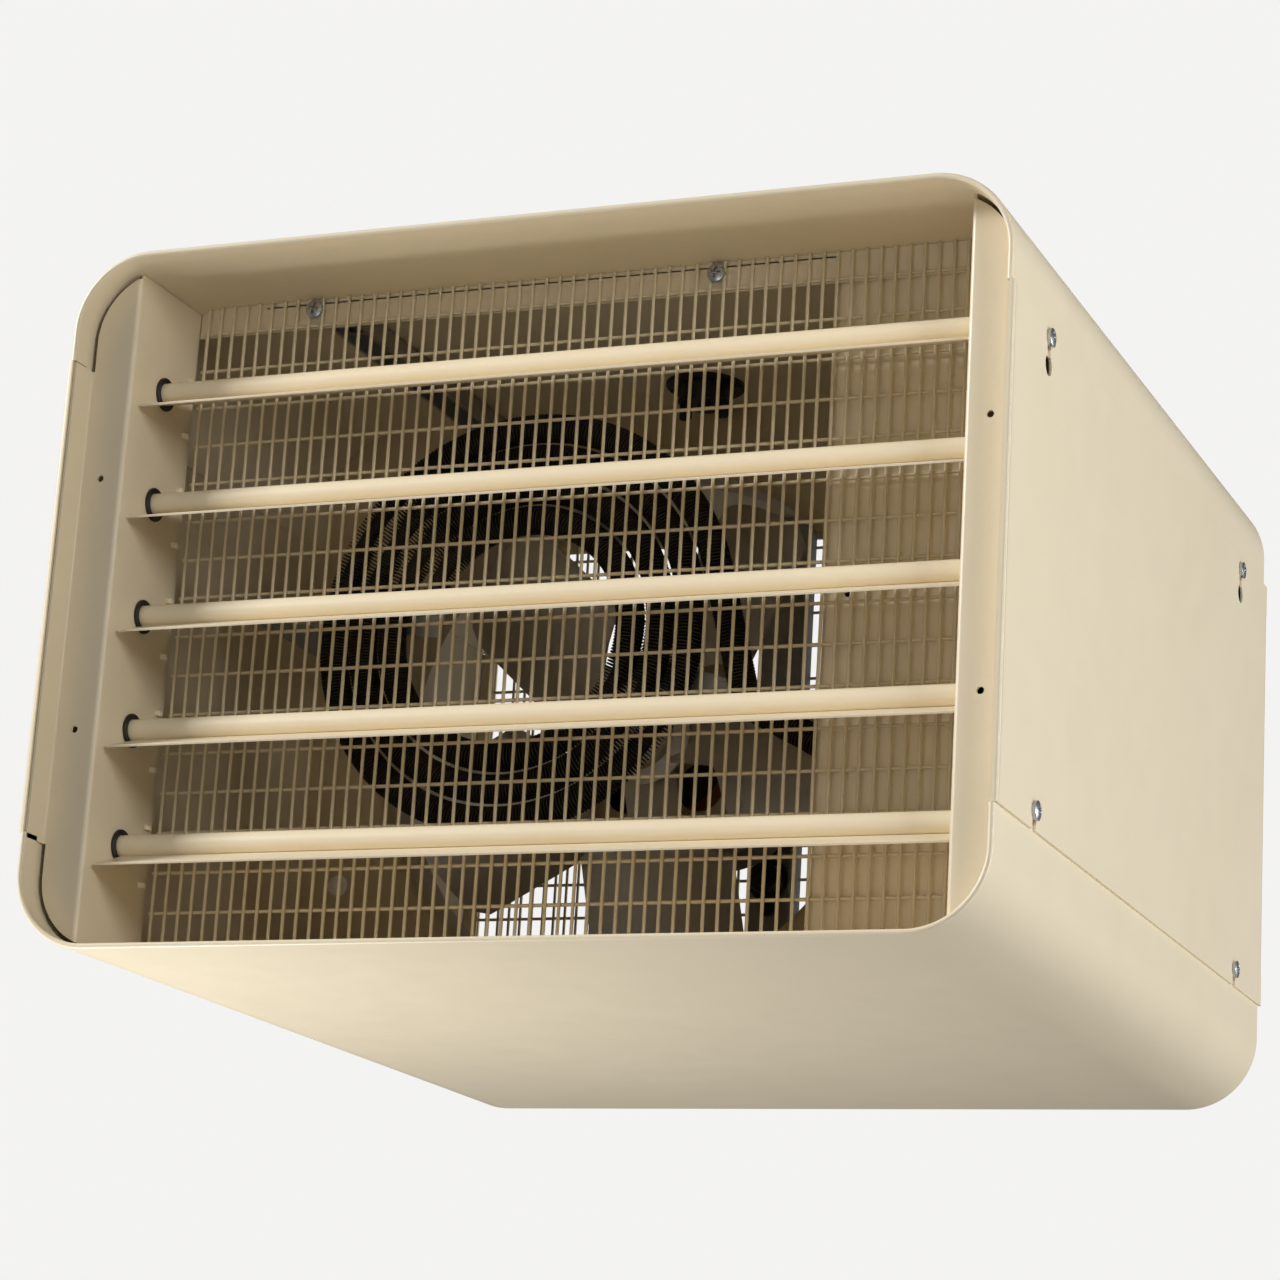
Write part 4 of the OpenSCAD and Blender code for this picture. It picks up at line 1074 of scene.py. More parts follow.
@dataclass
class Shells:
    """The two wraps, their hems and rear flange, the side panels and their screws.

    Attributes:
        seams: Heights of the shells' ends at the sides.
        hem: Depth of the folded hem at the front rim.
        flange: Width of the rear flange.
        bend: Inside radius of the rear bend.
        panel_top: Top edge of a side panel.
        panel_bottom: Bottom edge of a side panel.
        panel: Thickness of a side panel.
        fold: Width of a panel's front fold.
        screw_y: Distances of the panel screws from the front.
        screw_z: Heights of the panel screws.
        mount: Places of the ceiling holes, from the middle of the top.
        rail_y: Where the hanger rails start and end, from the front.
    """

    seams: Pair = (91.0, -88.5)
    hem: float = 9.5
    flange: float = 9.0
    bend: float = 1.2
    panel_top: float = 105.5
    panel_bottom: float = -103.0
    panel: float = 1.2
    fold: float = 2.4
    screw_y: Pair = (48.5, 377.0)
    screw_z: Pair = (98.0, -95.5)
    mount: Pair = (HANGER_X, 126.0)
    rail_y: Pair = (72.4, 416.0)

    def profile(self, hemmed: bool, set_back: float) -> list[Pair]:
        """Cross-section of the sheet from front to back, as depth and distance inwards.

        Args:
            hemmed: True where the rim is folded back.
            set_back: How far the rim stands back.

        Returns:
            The closed outline.
        """
        t, d = CASE.sheet, CASE.depth
        inner = 2 * t if hemmed else t + 0.001
        nose = inner / 2 if hemmed else t / 2
        front = set_back + nose
        lip = [(front - nose * math.sin(a), nose - nose * math.cos(a)) for a in np.linspace(0, math.pi, 9)]
        back = [(self.hem, inner), (self.hem + 0.3, inner - 0.25 if hemmed else inner), (self.hem + 0.3, t)]
        inside = arc((d - t - self.bend, t + self.bend), self.bend, -90, 0, 5)
        outside = arc((d - t - self.bend, t + self.bend), self.bend + t, 0, -90, 7)
        return lip + back + inside + [(d - t, self.flange - 0.3), (d - t + 0.3, self.flange),
                                      (d - 0.3, self.flange), (d, self.flange - 0.3)] + outside

    def shell(self, side: int) -> Shape:
        """One U-shaped shell.

        Args:
            side: 1 for the top and -1 for the bottom.

        Returns:
            The shell.
        """
        w, h, r = CASE.width / 2, CASE.height / 2, CASE.corner
        notch = self.panel_top if side > 0 else -self.panel_bottom
        seam = self.seams[0] if side > 0 else -self.seams[1]
        stations: list[tuple[float, float, float, float, bool]] = []
        for z, low in ((seam, True), (notch, True), (notch + 0.02, False)):
            stations.append((w, z, -1.0, 0.0, low))
        for i in range(25):
            a = math.radians(90 * i / 24)
            stations.append((w - r + r * math.cos(a), h - r + r * math.sin(a), -math.cos(a), -math.sin(a), False))
        stations += [(-x, z, -nx, nz, low) for x, z, nx, nz, low in stations[::-1]]
        points, faces = [], []
        n = len(self.profile(True, 0.0))
        for x, z, nx, nz, low in stations:
            for y, d in self.profile(not low, self.panel + 0.3 if low else 0.0):
                points.append((x + nx * d, y, z + nz * d))
        for i in range(len(stations) - 1):
            for j in range(n):
                k = (j + 1) % n
                faces.append((i * n + j, i * n + k, (i + 1) * n + k, (i + 1) * n + j))
        last = (len(stations) - 1) * n
        faces += [tuple(range(n))[::-1], tuple(last + j for j in range(n))]
        shape = Shape(np.array(points), faces)
        return shape.flipped(side)

    def keyhole(self, y: float, z: float) -> list[Pair]:
        """Outline of a keyhole that hangs on a screw.

        Args:
            y: Screw's distance from the front.
            z: Screw's height.

        Returns:
            The closed outline.
        """
        slot, big, drop = 2.3, 4.5, 11.4
        over = math.degrees(math.acos(slot / big))
        return arc((y, z), slot, 0, 180, 12) + arc((y, z - drop), big, 180 - over, 360 + over, 28)

    def side_panel(self, side: int) -> Shape:
        """Side panel with keyholes, open slots and the folds at the front and the rear.

        Args:
            side: 1 for the right and -1 for the left.

        Returns:
            The panel.
        """
        slot, bend = 2.3, 1.5
        outline: list[Pair] = [(bend, self.panel_top), (bend, self.panel_bottom)]
        for y in self.screw_y:
            outline += [(y - slot, self.panel_bottom)]
            outline += arc((y, self.screw_z[1]), slot, 180, 0, 12) + [(y + slot, self.panel_bottom)]
        low, high = self.seams[1] + 0.3, self.seams[0] - 0.3
        outline += [(CASE.depth, self.panel_bottom), (CASE.depth, low - 0.4), (CASE.depth - bend, low - 0.4)]
        outline += [(CASE.depth - bend, high + 0.4), (CASE.depth, high + 0.4), (CASE.depth, self.panel_top)]
        holes = [self.keyhole(y, self.screw_z[0]) for y in self.screw_y]
        flat = plate([outline, *holes], self.panel, 0.18).moved(FACING_SIDE).at(CASE.width / 2, 0, 0)
        outer = CASE.width / 2 + self.panel
        line = [(outer - self.panel / 2, bend + 0.4)]
        line += arc((outer - bend, bend), bend - self.panel / 2, 0, -90, 6)
        line += [(outer - self.fold, self.panel / 2)]
        fold = sheet(line, self.panel, lambda _: (self.panel_bottom, self.panel_top), Axis.Z)
        line = [(outer - self.panel / 2, CASE.depth - bend - 0.4)]
        line += arc((outer - bend, CASE.depth - bend), bend - self.panel / 2, 0, 90, 6)
        line += [(CASE.width / 2 - self.flange, CASE.depth - self.panel / 2)]
        rear = sheet(line, self.panel, lambda _: (low, high), Axis.Z)
        return joined([flat, fold, rear]).mirrored(side)

    def screws(self) -> Shape:
        """The eight panel screws."""
        screw = pan_screw(*NUMBER_8, 7.0)
        made = []
        for i, (y, z) in enumerate((y, z) for y in self.screw_y for z in self.screw_z):
            for side in (-1, 1):
                turned = screw.turned(17 + 41 * i + 23 * side, Axis.Z).turned(90, Axis.Y)
                made.append(turned.mirrored(side).at(side * (CASE.width / 2 + self.panel), y, z))
        return joined(made)

    def hanger_rail(self, side: int) -> Shape:
        """Channel under the top that takes the ceiling bolts.

        Args:
            side: 1 for the right and -1 for the left.

        Returns:
            The rail.
        """
        x, half, deep, t, bend = side * self.mount[0], 7.5, 10.0, 1.5, 1.6
        top = CASE.inside_z
        line = [(x - half + t / 2, top - deep)]
        line += arc((x - half + t / 2 + bend, top - t / 2 - bend), bend, 180, 90, 6)
        line += arc((x + half - t / 2 - bend, top - t / 2 - bend), bend, 90, 0, 6)
        line += [(x + half - t / 2, top - deep)]
        return sheet(line, t, lambda _: self.rail_y, Axis.Y)

    def build(self) -> None:
        """Makes the case's pieces."""
        hole = drill(4.0, 140, 160, Axis.Z, 40)
        holes = [hole.at(sx * self.mount[0], CASE.depth / 2 + sy * self.mount[1], 0)
                 for sx in (-1, 1) for sy in (-1, 1)]
        piece("top_shell", self.shell(1), ALMOND, cutters=[joined(holes)])
        piece("bottom_shell", self.shell(-1), ALMOND)
        for side, name in SIDES:
            piece(f"side_panel_{name}", self.side_panel(side), ALMOND)
        piece("panel_screws", self.screws(), ZINC, angle=40)
        for side, name in SIDES:
            piece(f"hanger_rail_{name}", self.hanger_rail(side), GALVANISED, edge=0.2)
        repaint("hanger_nuts", ZINC)


# ------------------------------------------------------------------------------------------------ the louvers


@dataclass
class Louvers:
    """Angle brackets with their stops, black bushings and the five blades.

    Attributes:
        pivot_y: Distance of the pivots from the front.
        middle: Height of the middle pivot.
        pitch: Height from one pivot to the next.
        count: Number of blades.
        tilt: Downward tilt of the blades.
        wall: Inner face of a bracket.
        sheet: Thickness of a bracket.
        lip: Half height of a bracket's lip.
        gap: Gap round the bracket's corners.
        front: Distance of the brackets' flange from the front.
        rear: Rear edge of a bracket.
        bend: Outside radius of a bracket's bends.
        lip_y: Where the lip ends, from the front.
        spare: Height of the flange's small holes above and below the middle.
        behind: How far the stops stand behind the pivots.
    """

    pivot_y: float = 43.2
    middle: float = 1.1
    pitch: float = 50.8
    count: int = 5
    tilt: float = 19.5
    wall: float = BRACKET_X
    sheet: float = SHEET
    lip: float = 105.0
    gap: float = 2.2
    front: float = 15.0
    rear: float = 68.5
    bend: float = 2.0
    lip_y: float = 1.5
    spare: float = 55.7
    behind: float = 20.5

    def heights(self) -> list[float]:
        """Heights of the pivots, from the top."""
        return [self.middle + ((self.count - 1) / 2 - i) * self.pitch for i in range(self.count)]

    def bracket(self, side: int) -> tuple[Shape, Shape]:
        """Angle bracket and what is cut out of it.

        Args:
            side: 1 for the right and -1 for the left.

        Returns:
            The bracket and its cutter.
        """
        t, half = self.sheet, self.sheet / 2
        radius = self.bend - half
        edge = CASE.inside_x - self.gap
        line: list[Pair] = [(self.wall + half, self.rear), (self.wall + half, self.front + self.bend)]
        line += arc((self.wall + self.bend, self.front + self.bend), radius, 180, 270, 6)[1:]
        xs = list(np.linspace(self.wall + self.bend + 2, edge - 3, 12))
        xs += list(edge - 3 + 3 * np.sin(np.linspace(0, math.pi / 2, 10)[1:]))
        line += [(x, self.front + half) for x in xs]
        reach = [(CASE.reach_z(self.wall + t),) * 2] * 2
        reach += [(CASE.reach_z(x, self.gap),) * 2 for x, _ in line[2:]]
        lip = [(edge, self.front + half)]
        lip += arc((CASE.inside_x - self.bend, self.front + t - self.bend), radius, 90, 0, 6)
        lip += [(CASE.inside_x - half, self.lip_y)]
        line += lip
        reach += [(self.lip,) * 2] * len(lip)
        skin = sheet(line, t, lambda i: (-reach[i][0], reach[i][1]), Axis.Z)
        places = [(z + step * self.pitch / 4, step) for z in self.heights() for step in (-1, 1)]
        stops = [self.stop(z, step) for z, step in places]
        pivot = drill(5.9, -DRILL, DRILL, Axis.X, 32)
        spare = drill(1.5, -DRILL, DRILL, Axis.Y, 24)
        slit = drill(1.5, -0.6, 0.6, Axis.Z, 16)
        cutters = [pivot.at(self.wall, self.pivot_y, z) for z in self.heights()]
        cutters += [spare.at((self.wall + CASE.inside_x) / 2, self.front, z) for z in (-self.spare, self.spare)]
        cutters += [slit.at(self.wall + half, self.pivot_y + self.behind, z) for z, _ in places]
        return joined([skin, *stops]).mirrored(side), joined(c.mirrored(side) for c in cutters)

    def stop(self, z: float, step: int) -> Shape:
        """Half round stop pressed out of the wall.

        Args:
            z: Its height.
            step: 1 if it opens upwards and -1 if it opens downwards.

        Returns:
            The stop.
        """
        outer, tall, soft, n = 2.4, 2.4, 0.35, 15
        levels = ((-tall / 2, 0.86), (-tall / 2 + soft, 1.0), (tall / 2 - soft, 1.0), (tall / 2, 0.86))
        points = np.array([(-outer * share * math.sin(a), -outer * share * math.cos(a), h * step)
                           for h, share in levels for a in np.linspace(0, math.pi, n)])
        faces = []
        for low in range(0, 3 * n, n):
            high = low + n
            faces += [(low + j, low + j + 1, high + j + 1, high + j) for j in range(n - 1)]
            faces.append((low, high, high + n - 1, low + n - 1))
        faces += [tuple(range(n)), tuple(3 * n + j for j in range(n))]
        return Shape(points, faces).at(self.wall, self.pivot_y + self.behind, z)

    def bushing(self) -> Shape:
        """Flanged bushing of the right bracket, with its axis along X."""
        bore, outer, flange, t = 4.85, 5.95, 7.4, 1.4
        rim = [(bore, 0.4), (bore + 0.4, 0.0)]
        rim += [(flange - 0.5 + 0.5 * math.sin(a), 0.5 - 0.5 * math.cos(a)) for a in np.linspace(0, math.pi / 2, 5)]
        rim += [(flange, t - 0.2), (flange - 0.2, t), (outer, t), (outer, t + 3.3), (outer - 0.4, t + 3.7),
                (bore, t + 3.7)]
        return lathe(rim, Axis.X, 40).at(self.wall - t, self.pivot_y, 0)

    def blade(self) -> Shape:
        """One blade with its rolled tube, level, with the pivot at the origin."""
        tube, wall, t, long, end = 4.8, 1.0, 1.0, 187.0, 192.7
        low = -tube + t / 2
        line = [(18.5, low), (9.26, low), (9.25, low), (0.0, low), (-12.0, low), (-25.0, low)]
        half = [long - tube] * 2 + [long] * (len(line) - 2)
        flat = sheet(line, t, lambda i: (-half[i], half[i]), Axis.X)
        pipe = [(tube - wall, -end + 0.2), (tube - wall + 0.2, -end), (tube - 0.3, -end), (tube, -end + 0.3),
                (tube, end - 0.3), (tube - 0.3, end), (tube - wall + 0.2, end), (tube - wall, end - 0.2)]
        return joined([flat, lathe(pipe, Axis.X, 40)])

    def build(self) -> None:
        """Makes the brackets, bushings and blades."""
        for side, name in SIDES:
            bracket, cutter = self.bracket(side)
            piece(f"louver_bracket_{name}", bracket, ALMOND, edge=0.18, cutters=[cutter])
        bushing = self.bushing()
        bushings = joined(bushing.at(0, 0, z).mirrored(side) for side in (-1, 1) for z in self.heights())
        piece("louver_bushings", bushings, BLACK)
        blade = self.blade().turned(self.tilt, Axis.X)
        for number, z in enumerate(self.heights(), 1):
            piece(f"louver_{number}", blade.at(0, self.pivot_y, z), ALMOND, f"louver_body_{number}", edge=0.25)


# ------------------------------------------------------------------------------------------------ the grilles


@dataclass
class Grilles:
    """Wire grilles, the rails that carry the front one, and the brace of the rear one.

    Attributes:
        wire: Wire diameter.
        pitch_x: Distance from one upright wire to the next.
        pitch_z: Distance from one level wire to the next.
        rows: Number of level wires.
        middle: Height of the middle row.
        sink: How far crossing wires sink into each other.
        play: Gap between the ends of the wires and the shells.
        wobble: Size of the wires' small bends.
        front: Distance of the front grille from the front edge.
        columns: Number of its upright wires.
        guard: Distance of the rear guard from the front edge.
        guard_left: Leftmost wire of the guard.
        guard_columns: Number of its upright wires.
        rail: Height of a grille rail.
        rail_columns: Where the grille screws are, counted in wires from the middle.
        guard_screw_columns: Where the guard screws are, counted in wires from the guard's leftmost one.
    """

    wire: float = 1.6
    pitch_x: float = 6.35
    pitch_z: float = 17.57
    rows: int = 17
    middle: float = -1.4
    sink: float = 0.4
    play: float = 0.4
    wobble: float = 0.06
    front: float = 66.2
    columns: int = 59
    guard: float = 428.0
    guard_left: float = 203.2
    guard_columns: int = 50
    rail: float = 13.8
    rail_columns: Pair = (-20.5, 9.5)
    guard_screw_columns: Pair = (8.5, 43.5)

    def mesh(self, first: float, columns: int, seed: int) -> Shape:
        """Welded mesh with its front at Y 0.

        Args:
            first: Place of the leftmost upright wire.
            columns: Number of upright wires.
            seed: Seed of the small bends.

        Returns:
            The mesh.
        """
        random = np.random.default_rng(seed)
        r, bars = self.wire / 2, []
        last = first + (columns - 1) * self.pitch_x
        for i in range(columns):
            x = first + i * self.pitch_x
            top = CASE.reach_z(abs(x) + r) - self.play
            z = np.linspace(-top, top, 9)
            bend = random.normal(0, self.wobble, 3)
            path = np.stack([x + bend[0] * np.sin(z / 60) + bend[1] * np.sin(z / 35), np.full(9, r), z], 1)
            bars.append(sweep(path, r, 8))
        for i in range(self.rows):
            z = self.middle + (i - (self.rows - 1) / 2) * self.pitch_z
            reach = CASE.reach_x(abs(z) + r) - self.play
            x = np.linspace(max(first - self.pitch_x / 3, -reach), min(last + self.pitch_x / 3, reach), 11)
            bend = random.normal(0, self.wobble, 2)
            path = np.stack([x, np.full(11, 2 * r - self.sink + r), z + bend[0] * np.sin(x / 70)], 1)
            bars.append(sweep(path, r, 8))
        return joined(bars)

    def rail_shape(self, side: int) -> Shape:
        """Angle that carries the front grille.

        Args:
            side: 1 for the top and -1 for the bottom.

        Returns:
            The angle.
        """
        y, t, bend, deep, wide = 69.0, SHEET, 1.8, 20.0, BRACKET_X
        low, high = CASE.inside_z - self.rail, CASE.inside_z
        corner = [(x, CASE.reach_z(x) - 0.05) for x in np.linspace(wide, CASE.inside_x - CASE.inside_r, 10)]
        outline = [(-wide, low), (wide, low)] + corner + [(-x, z) for x, z in corner[::-1]]
        flange = plate([outline], t, 0.15).moved(FACING_FRONT).at(0, y, 0)
        line = [(y + t / 2, high - bend - 0.6)] + arc((y + bend, high - bend), bend - t / 2, 180, 90, 5)
        line += [(y + deep, high - t / 2)]
        leg = sheet(line, t, lambda _: (-wide + CASE.inside_r, PARTITION_X), Axis.X)
        return joined([flange, leg]).flipped(side)

    def rail_screws(self) -> Shape:
        """Screws that hold the front grille on its rails."""
        screw = pan_screw(*NUMBER_8, 3.9)
        height = CASE.inside_z - self.rail / 2 + 1
        places = [(column * self.pitch_x, side * height) for column in self.rail_columns for side in (-1, 1)]
        return joined(screw.turned(31 + 47 * i, Axis.Z).turned(90, Axis.X).at(x, self.front, z)
                      for i, (x, z) in enumerate(places))

    def guard_screws(self) -> Shape:
        """Screws in the rear flange."""
        screw = pan_screw(*NUMBER_8, 5.0)
        height = CASE.inside_z - 4.5
        places = [(column * self.pitch_x - self.guard_left, side * height)
                  for column in self.guard_screw_columns for side in (-1, 1)]
        return joined(screw.turned(12 + 53 * i, Axis.Z).turned(-90, Axis.X).at(x, CASE.depth, z)
                      for i, (x, z) in enumerate(places))

    def brace(self) -> Shape:
        """Upright channel in front of the guard."""
        x, half, t, bend = BRACE_X, 12.0, SHEET, 1.6
        near, far = 416.0, self.guard
        line = [(x - half + t / 2, far)] + arc((x - half + t / 2 + bend, near + t / 2 + bend), bend, 180, 270, 6)
        line += arc((x + half - t / 2 - bend, near + t / 2 + bend), bend, 270, 360, 6) + [(x + half - t / 2, far)]
        return sheet(line, t, lambda _: (-CASE.inside_z, CASE.inside_z), Axis.Z)

    def build(self) -> None:
        """Makes the grilles and what holds them."""
        first = -(self.columns - 1) / 2 * self.pitch_x
        # The grilles carry the almond coat darkened as painted shade.
        piece("front_grille", self.mesh(first, self.columns, 3).at(0, self.front, 0), SHADED_WIRE_COAT, angle=60)
        piece("rear_guard", self.mesh(-self.guard_left, self.guard_columns, 5).at(0, self.guard, 0), SHADED_WIRE_COAT, angle=60)
        for side, name in ((1, "top"), (-1, "bottom")):
            piece(f"grille_rail_{name}", self.rail_shape(side), ALMOND)
        piece("grille_screws", self.rail_screws(), ZINC, angle=40)
        piece("guard_screws", self.guard_screws(), ZINC, angle=40)
        piece("guard_brace", self.brace(), GALVANISED, edge=0.2)


# -------------------------------------------------------------------------------------------- the air chamber


@dataclass
class AirChamber:
    """Partition, fan plate with its drawn ring, plug and safety switch.

    Attributes:
        partition: Distance of the partition from the middle.
        partition_y: Distance of its front from the front edge.
        sheet: Thickness of the inner sheets.
        plate_y: Distance of the fan plate from the front edge.
        fan_x: Fan axis, from the middle.
        ring: Inside radius of the fan ring.
        flare: Radius of the ring's lip.
        ring_depth: Depth of the ring.
        plug: Place of the plug on the fan plate.
        limit: Place of the safety switch, across and back.
        cable: Place of the supply cable's hole, across and up.
        spare: Place of the small front hole, from the partition and up.
    """

    partition: float = PARTITION_X
    partition_y: float = 71.0
    sheet: float = SHEET
    plate_y: float = FAN_PLATE_Y
    fan_x: float = FAN_X
    ring: float = 127.0
    flare: float = 9.0
    ring_depth: float = 38.0
    plug: Pair = (-190.0, -75.0)
    limit: Pair = (-2.0, 213.0)
    cable: Pair = (162.0, -112.0)
    spare: Pair = (11.0, 3.0)

    def partition_shape(self) -> tuple[Shape, list[Shape]]:
        """Channel round the controls and its holes.

        Returns:
            The channel and its cutters.
        """
        half, bend, gap, corner = self.sheet / 2, 1.6, 0.1, 32.7
        x, near, far = self.partition + half, self.partition_y + half, CASE.depth - CASE.sheet - half
        outer = [CASE.inside_x - gap - corner * (1 - math.sin(a)) for a in np.linspace(math.pi / 2, 0, 14)]
        line = [(u, near) for u in outer]
        line += arc((x + bend, near + bend), bend, 270, 180, 6)
        line += arc((x + bend, far - bend), bend, 180, 90, 6)
        line += [(u, far) for u in outer[::-1]]
        reach = [CASE.reach_z(u) - 0.02 for u, _ in line]
        shape = sheet(line, self.sheet, lambda i: (-reach[i], reach[i]), Axis.Z)
        cutters = [drill(6.0, -DRILL, DRILL, Axis.X, 28).at(self.partition, y, z) for y, z in LEADS]
        cutters += [drill(11.1, -DRILL, DRILL, Axis.Y, 36).at(self.cable[0], far, self.cable[1]),
                    drill(1.5, -DRILL, DRILL, Axis.Y, 20).at(self.partition + self.spare[0], near, self.spare[1])]
        return shape, cutters

    def fan_plate_shape(self) -> Shape:
        """Bulkhead with the ring round the fan."""
        mouth, t, top = self.ring + self.flare, self.sheet, CASE.inside_z
        notch, low = (-HANGER_X - 7.8, -HANGER_X + 7.8), top - 10.3
        xs = CASE.inside_x - CASE.inside_r * (1 - np.sin(np.linspace(math.pi / 2, 0, 12)))
        left = [(-x, CASE.reach_z(x)) for x in xs]
        outline = [(self.partition, -top), (self.partition, top), (notch[1], top), (notch[1], low),
                   (notch[0], low), (notch[0], top)] + left[::-1] + [(x, -z) for x, z in left]
        flat = plate([outline, circle(self.fan_x, 0, mouth, 128)], t, 0.1).moved(FACING_FRONT).at(0, self.plate_y, 0)
        line = [(mouth, t / 2)] + arc((mouth, self.flare), self.flare - t / 2, 270, 180, 12)
        line += [(self.ring + t / 2, self.ring_depth)]
        steps = np.diff(np.array(line), axis=0)
        steps /= np.linalg.norm(steps, axis=1)[:, None]
        middle = np.vstack([steps[:1], steps]) + np.vstack([steps, steps[-1:]])
        middle /= np.linalg.norm(middle, axis=1)[:, None]
        side = np.stack([-middle[:, 1], middle[:, 0]], 1) * t / 2
        profile = [tuple(p) for p in np.array(line) + side] + [tuple(p) for p in (np.array(line) - side)[::-1]]
        ring = lathe(profile, Axis.Y, 128).at(self.fan_x, self.plate_y, 0)
        return joined([flat, ring])

    def plug_shape(self) -> Shape:
        """Snap-in plug, with its dome to the front."""
        r = 5.2
        dome = [(r * math.sin(a), -2.0 * math.cos(a)) for a in np.linspace(0, math.pi / 2, 8)]
        plug = lathe([*dome, (r, 0), (2.6, 0), (2.6, 2.2), (0, 2.2)], Axis.Y, 36)
        return plug.at(self.plug[0], self.plate_y, self.plug[1])

    def limit_shape(self) -> Shape:
        """Round safety switch, hanging from the origin along -Z."""
        body = [(0, 0), (18.5, 0), (18.5, -1.4), (17.9, -2), (12.6, -2), (12.5, -9.2), (11.7, -10), (3.2, -10),
                (3.2, -12.6), (2.8, -13), (0, -13)]
        tab = plate([[(0, 0), (0, 8), (1.2, 9.0), (4.8, 9.0), (6, 8), (6, 0)]], 0.8, 0.1).moved(FACING_FRONT)
        tabs = [tab.flipped(-1).at(x * 9.3 - 3, -0.4, -8) for x in (-1, 1)]
        ear = lathe([(0, -2.6), (1.8, -2.6), (2.4, -2), (2.4, -1.9), (0, -1.9)], Axis.Z, 20)
        ears = [ear.at(x * 15.4, 0, 0) for x in (-1, 1)]
        return joined([lathe(body, Axis.Z, 56), *tabs, *ears])

    def build(self) -> None:
        """Makes the chamber's pieces."""
        shape, cutters = self.partition_shape()
        piece("partition", shape, ALMOND, cutters=cutters, edge=0.12)
        # The fan plate carries the almond coat darkened as painted shade.
        piece("fan_plate", self.fan_plate_shape(), SHADED_ALMOND, angle=40)
        # The plug carries the almond coat brightened as painted light.
        piece("hole_plug", self.plug_shape(), BRIGHTENED_PLUG_COAT, angle=50)
        piece("high_limit", self.limit_shape().at(*self.limit, CASE.inside_z), BLACK, angle=40)


# --------------------------------------------------------------------------------------------------- the coil


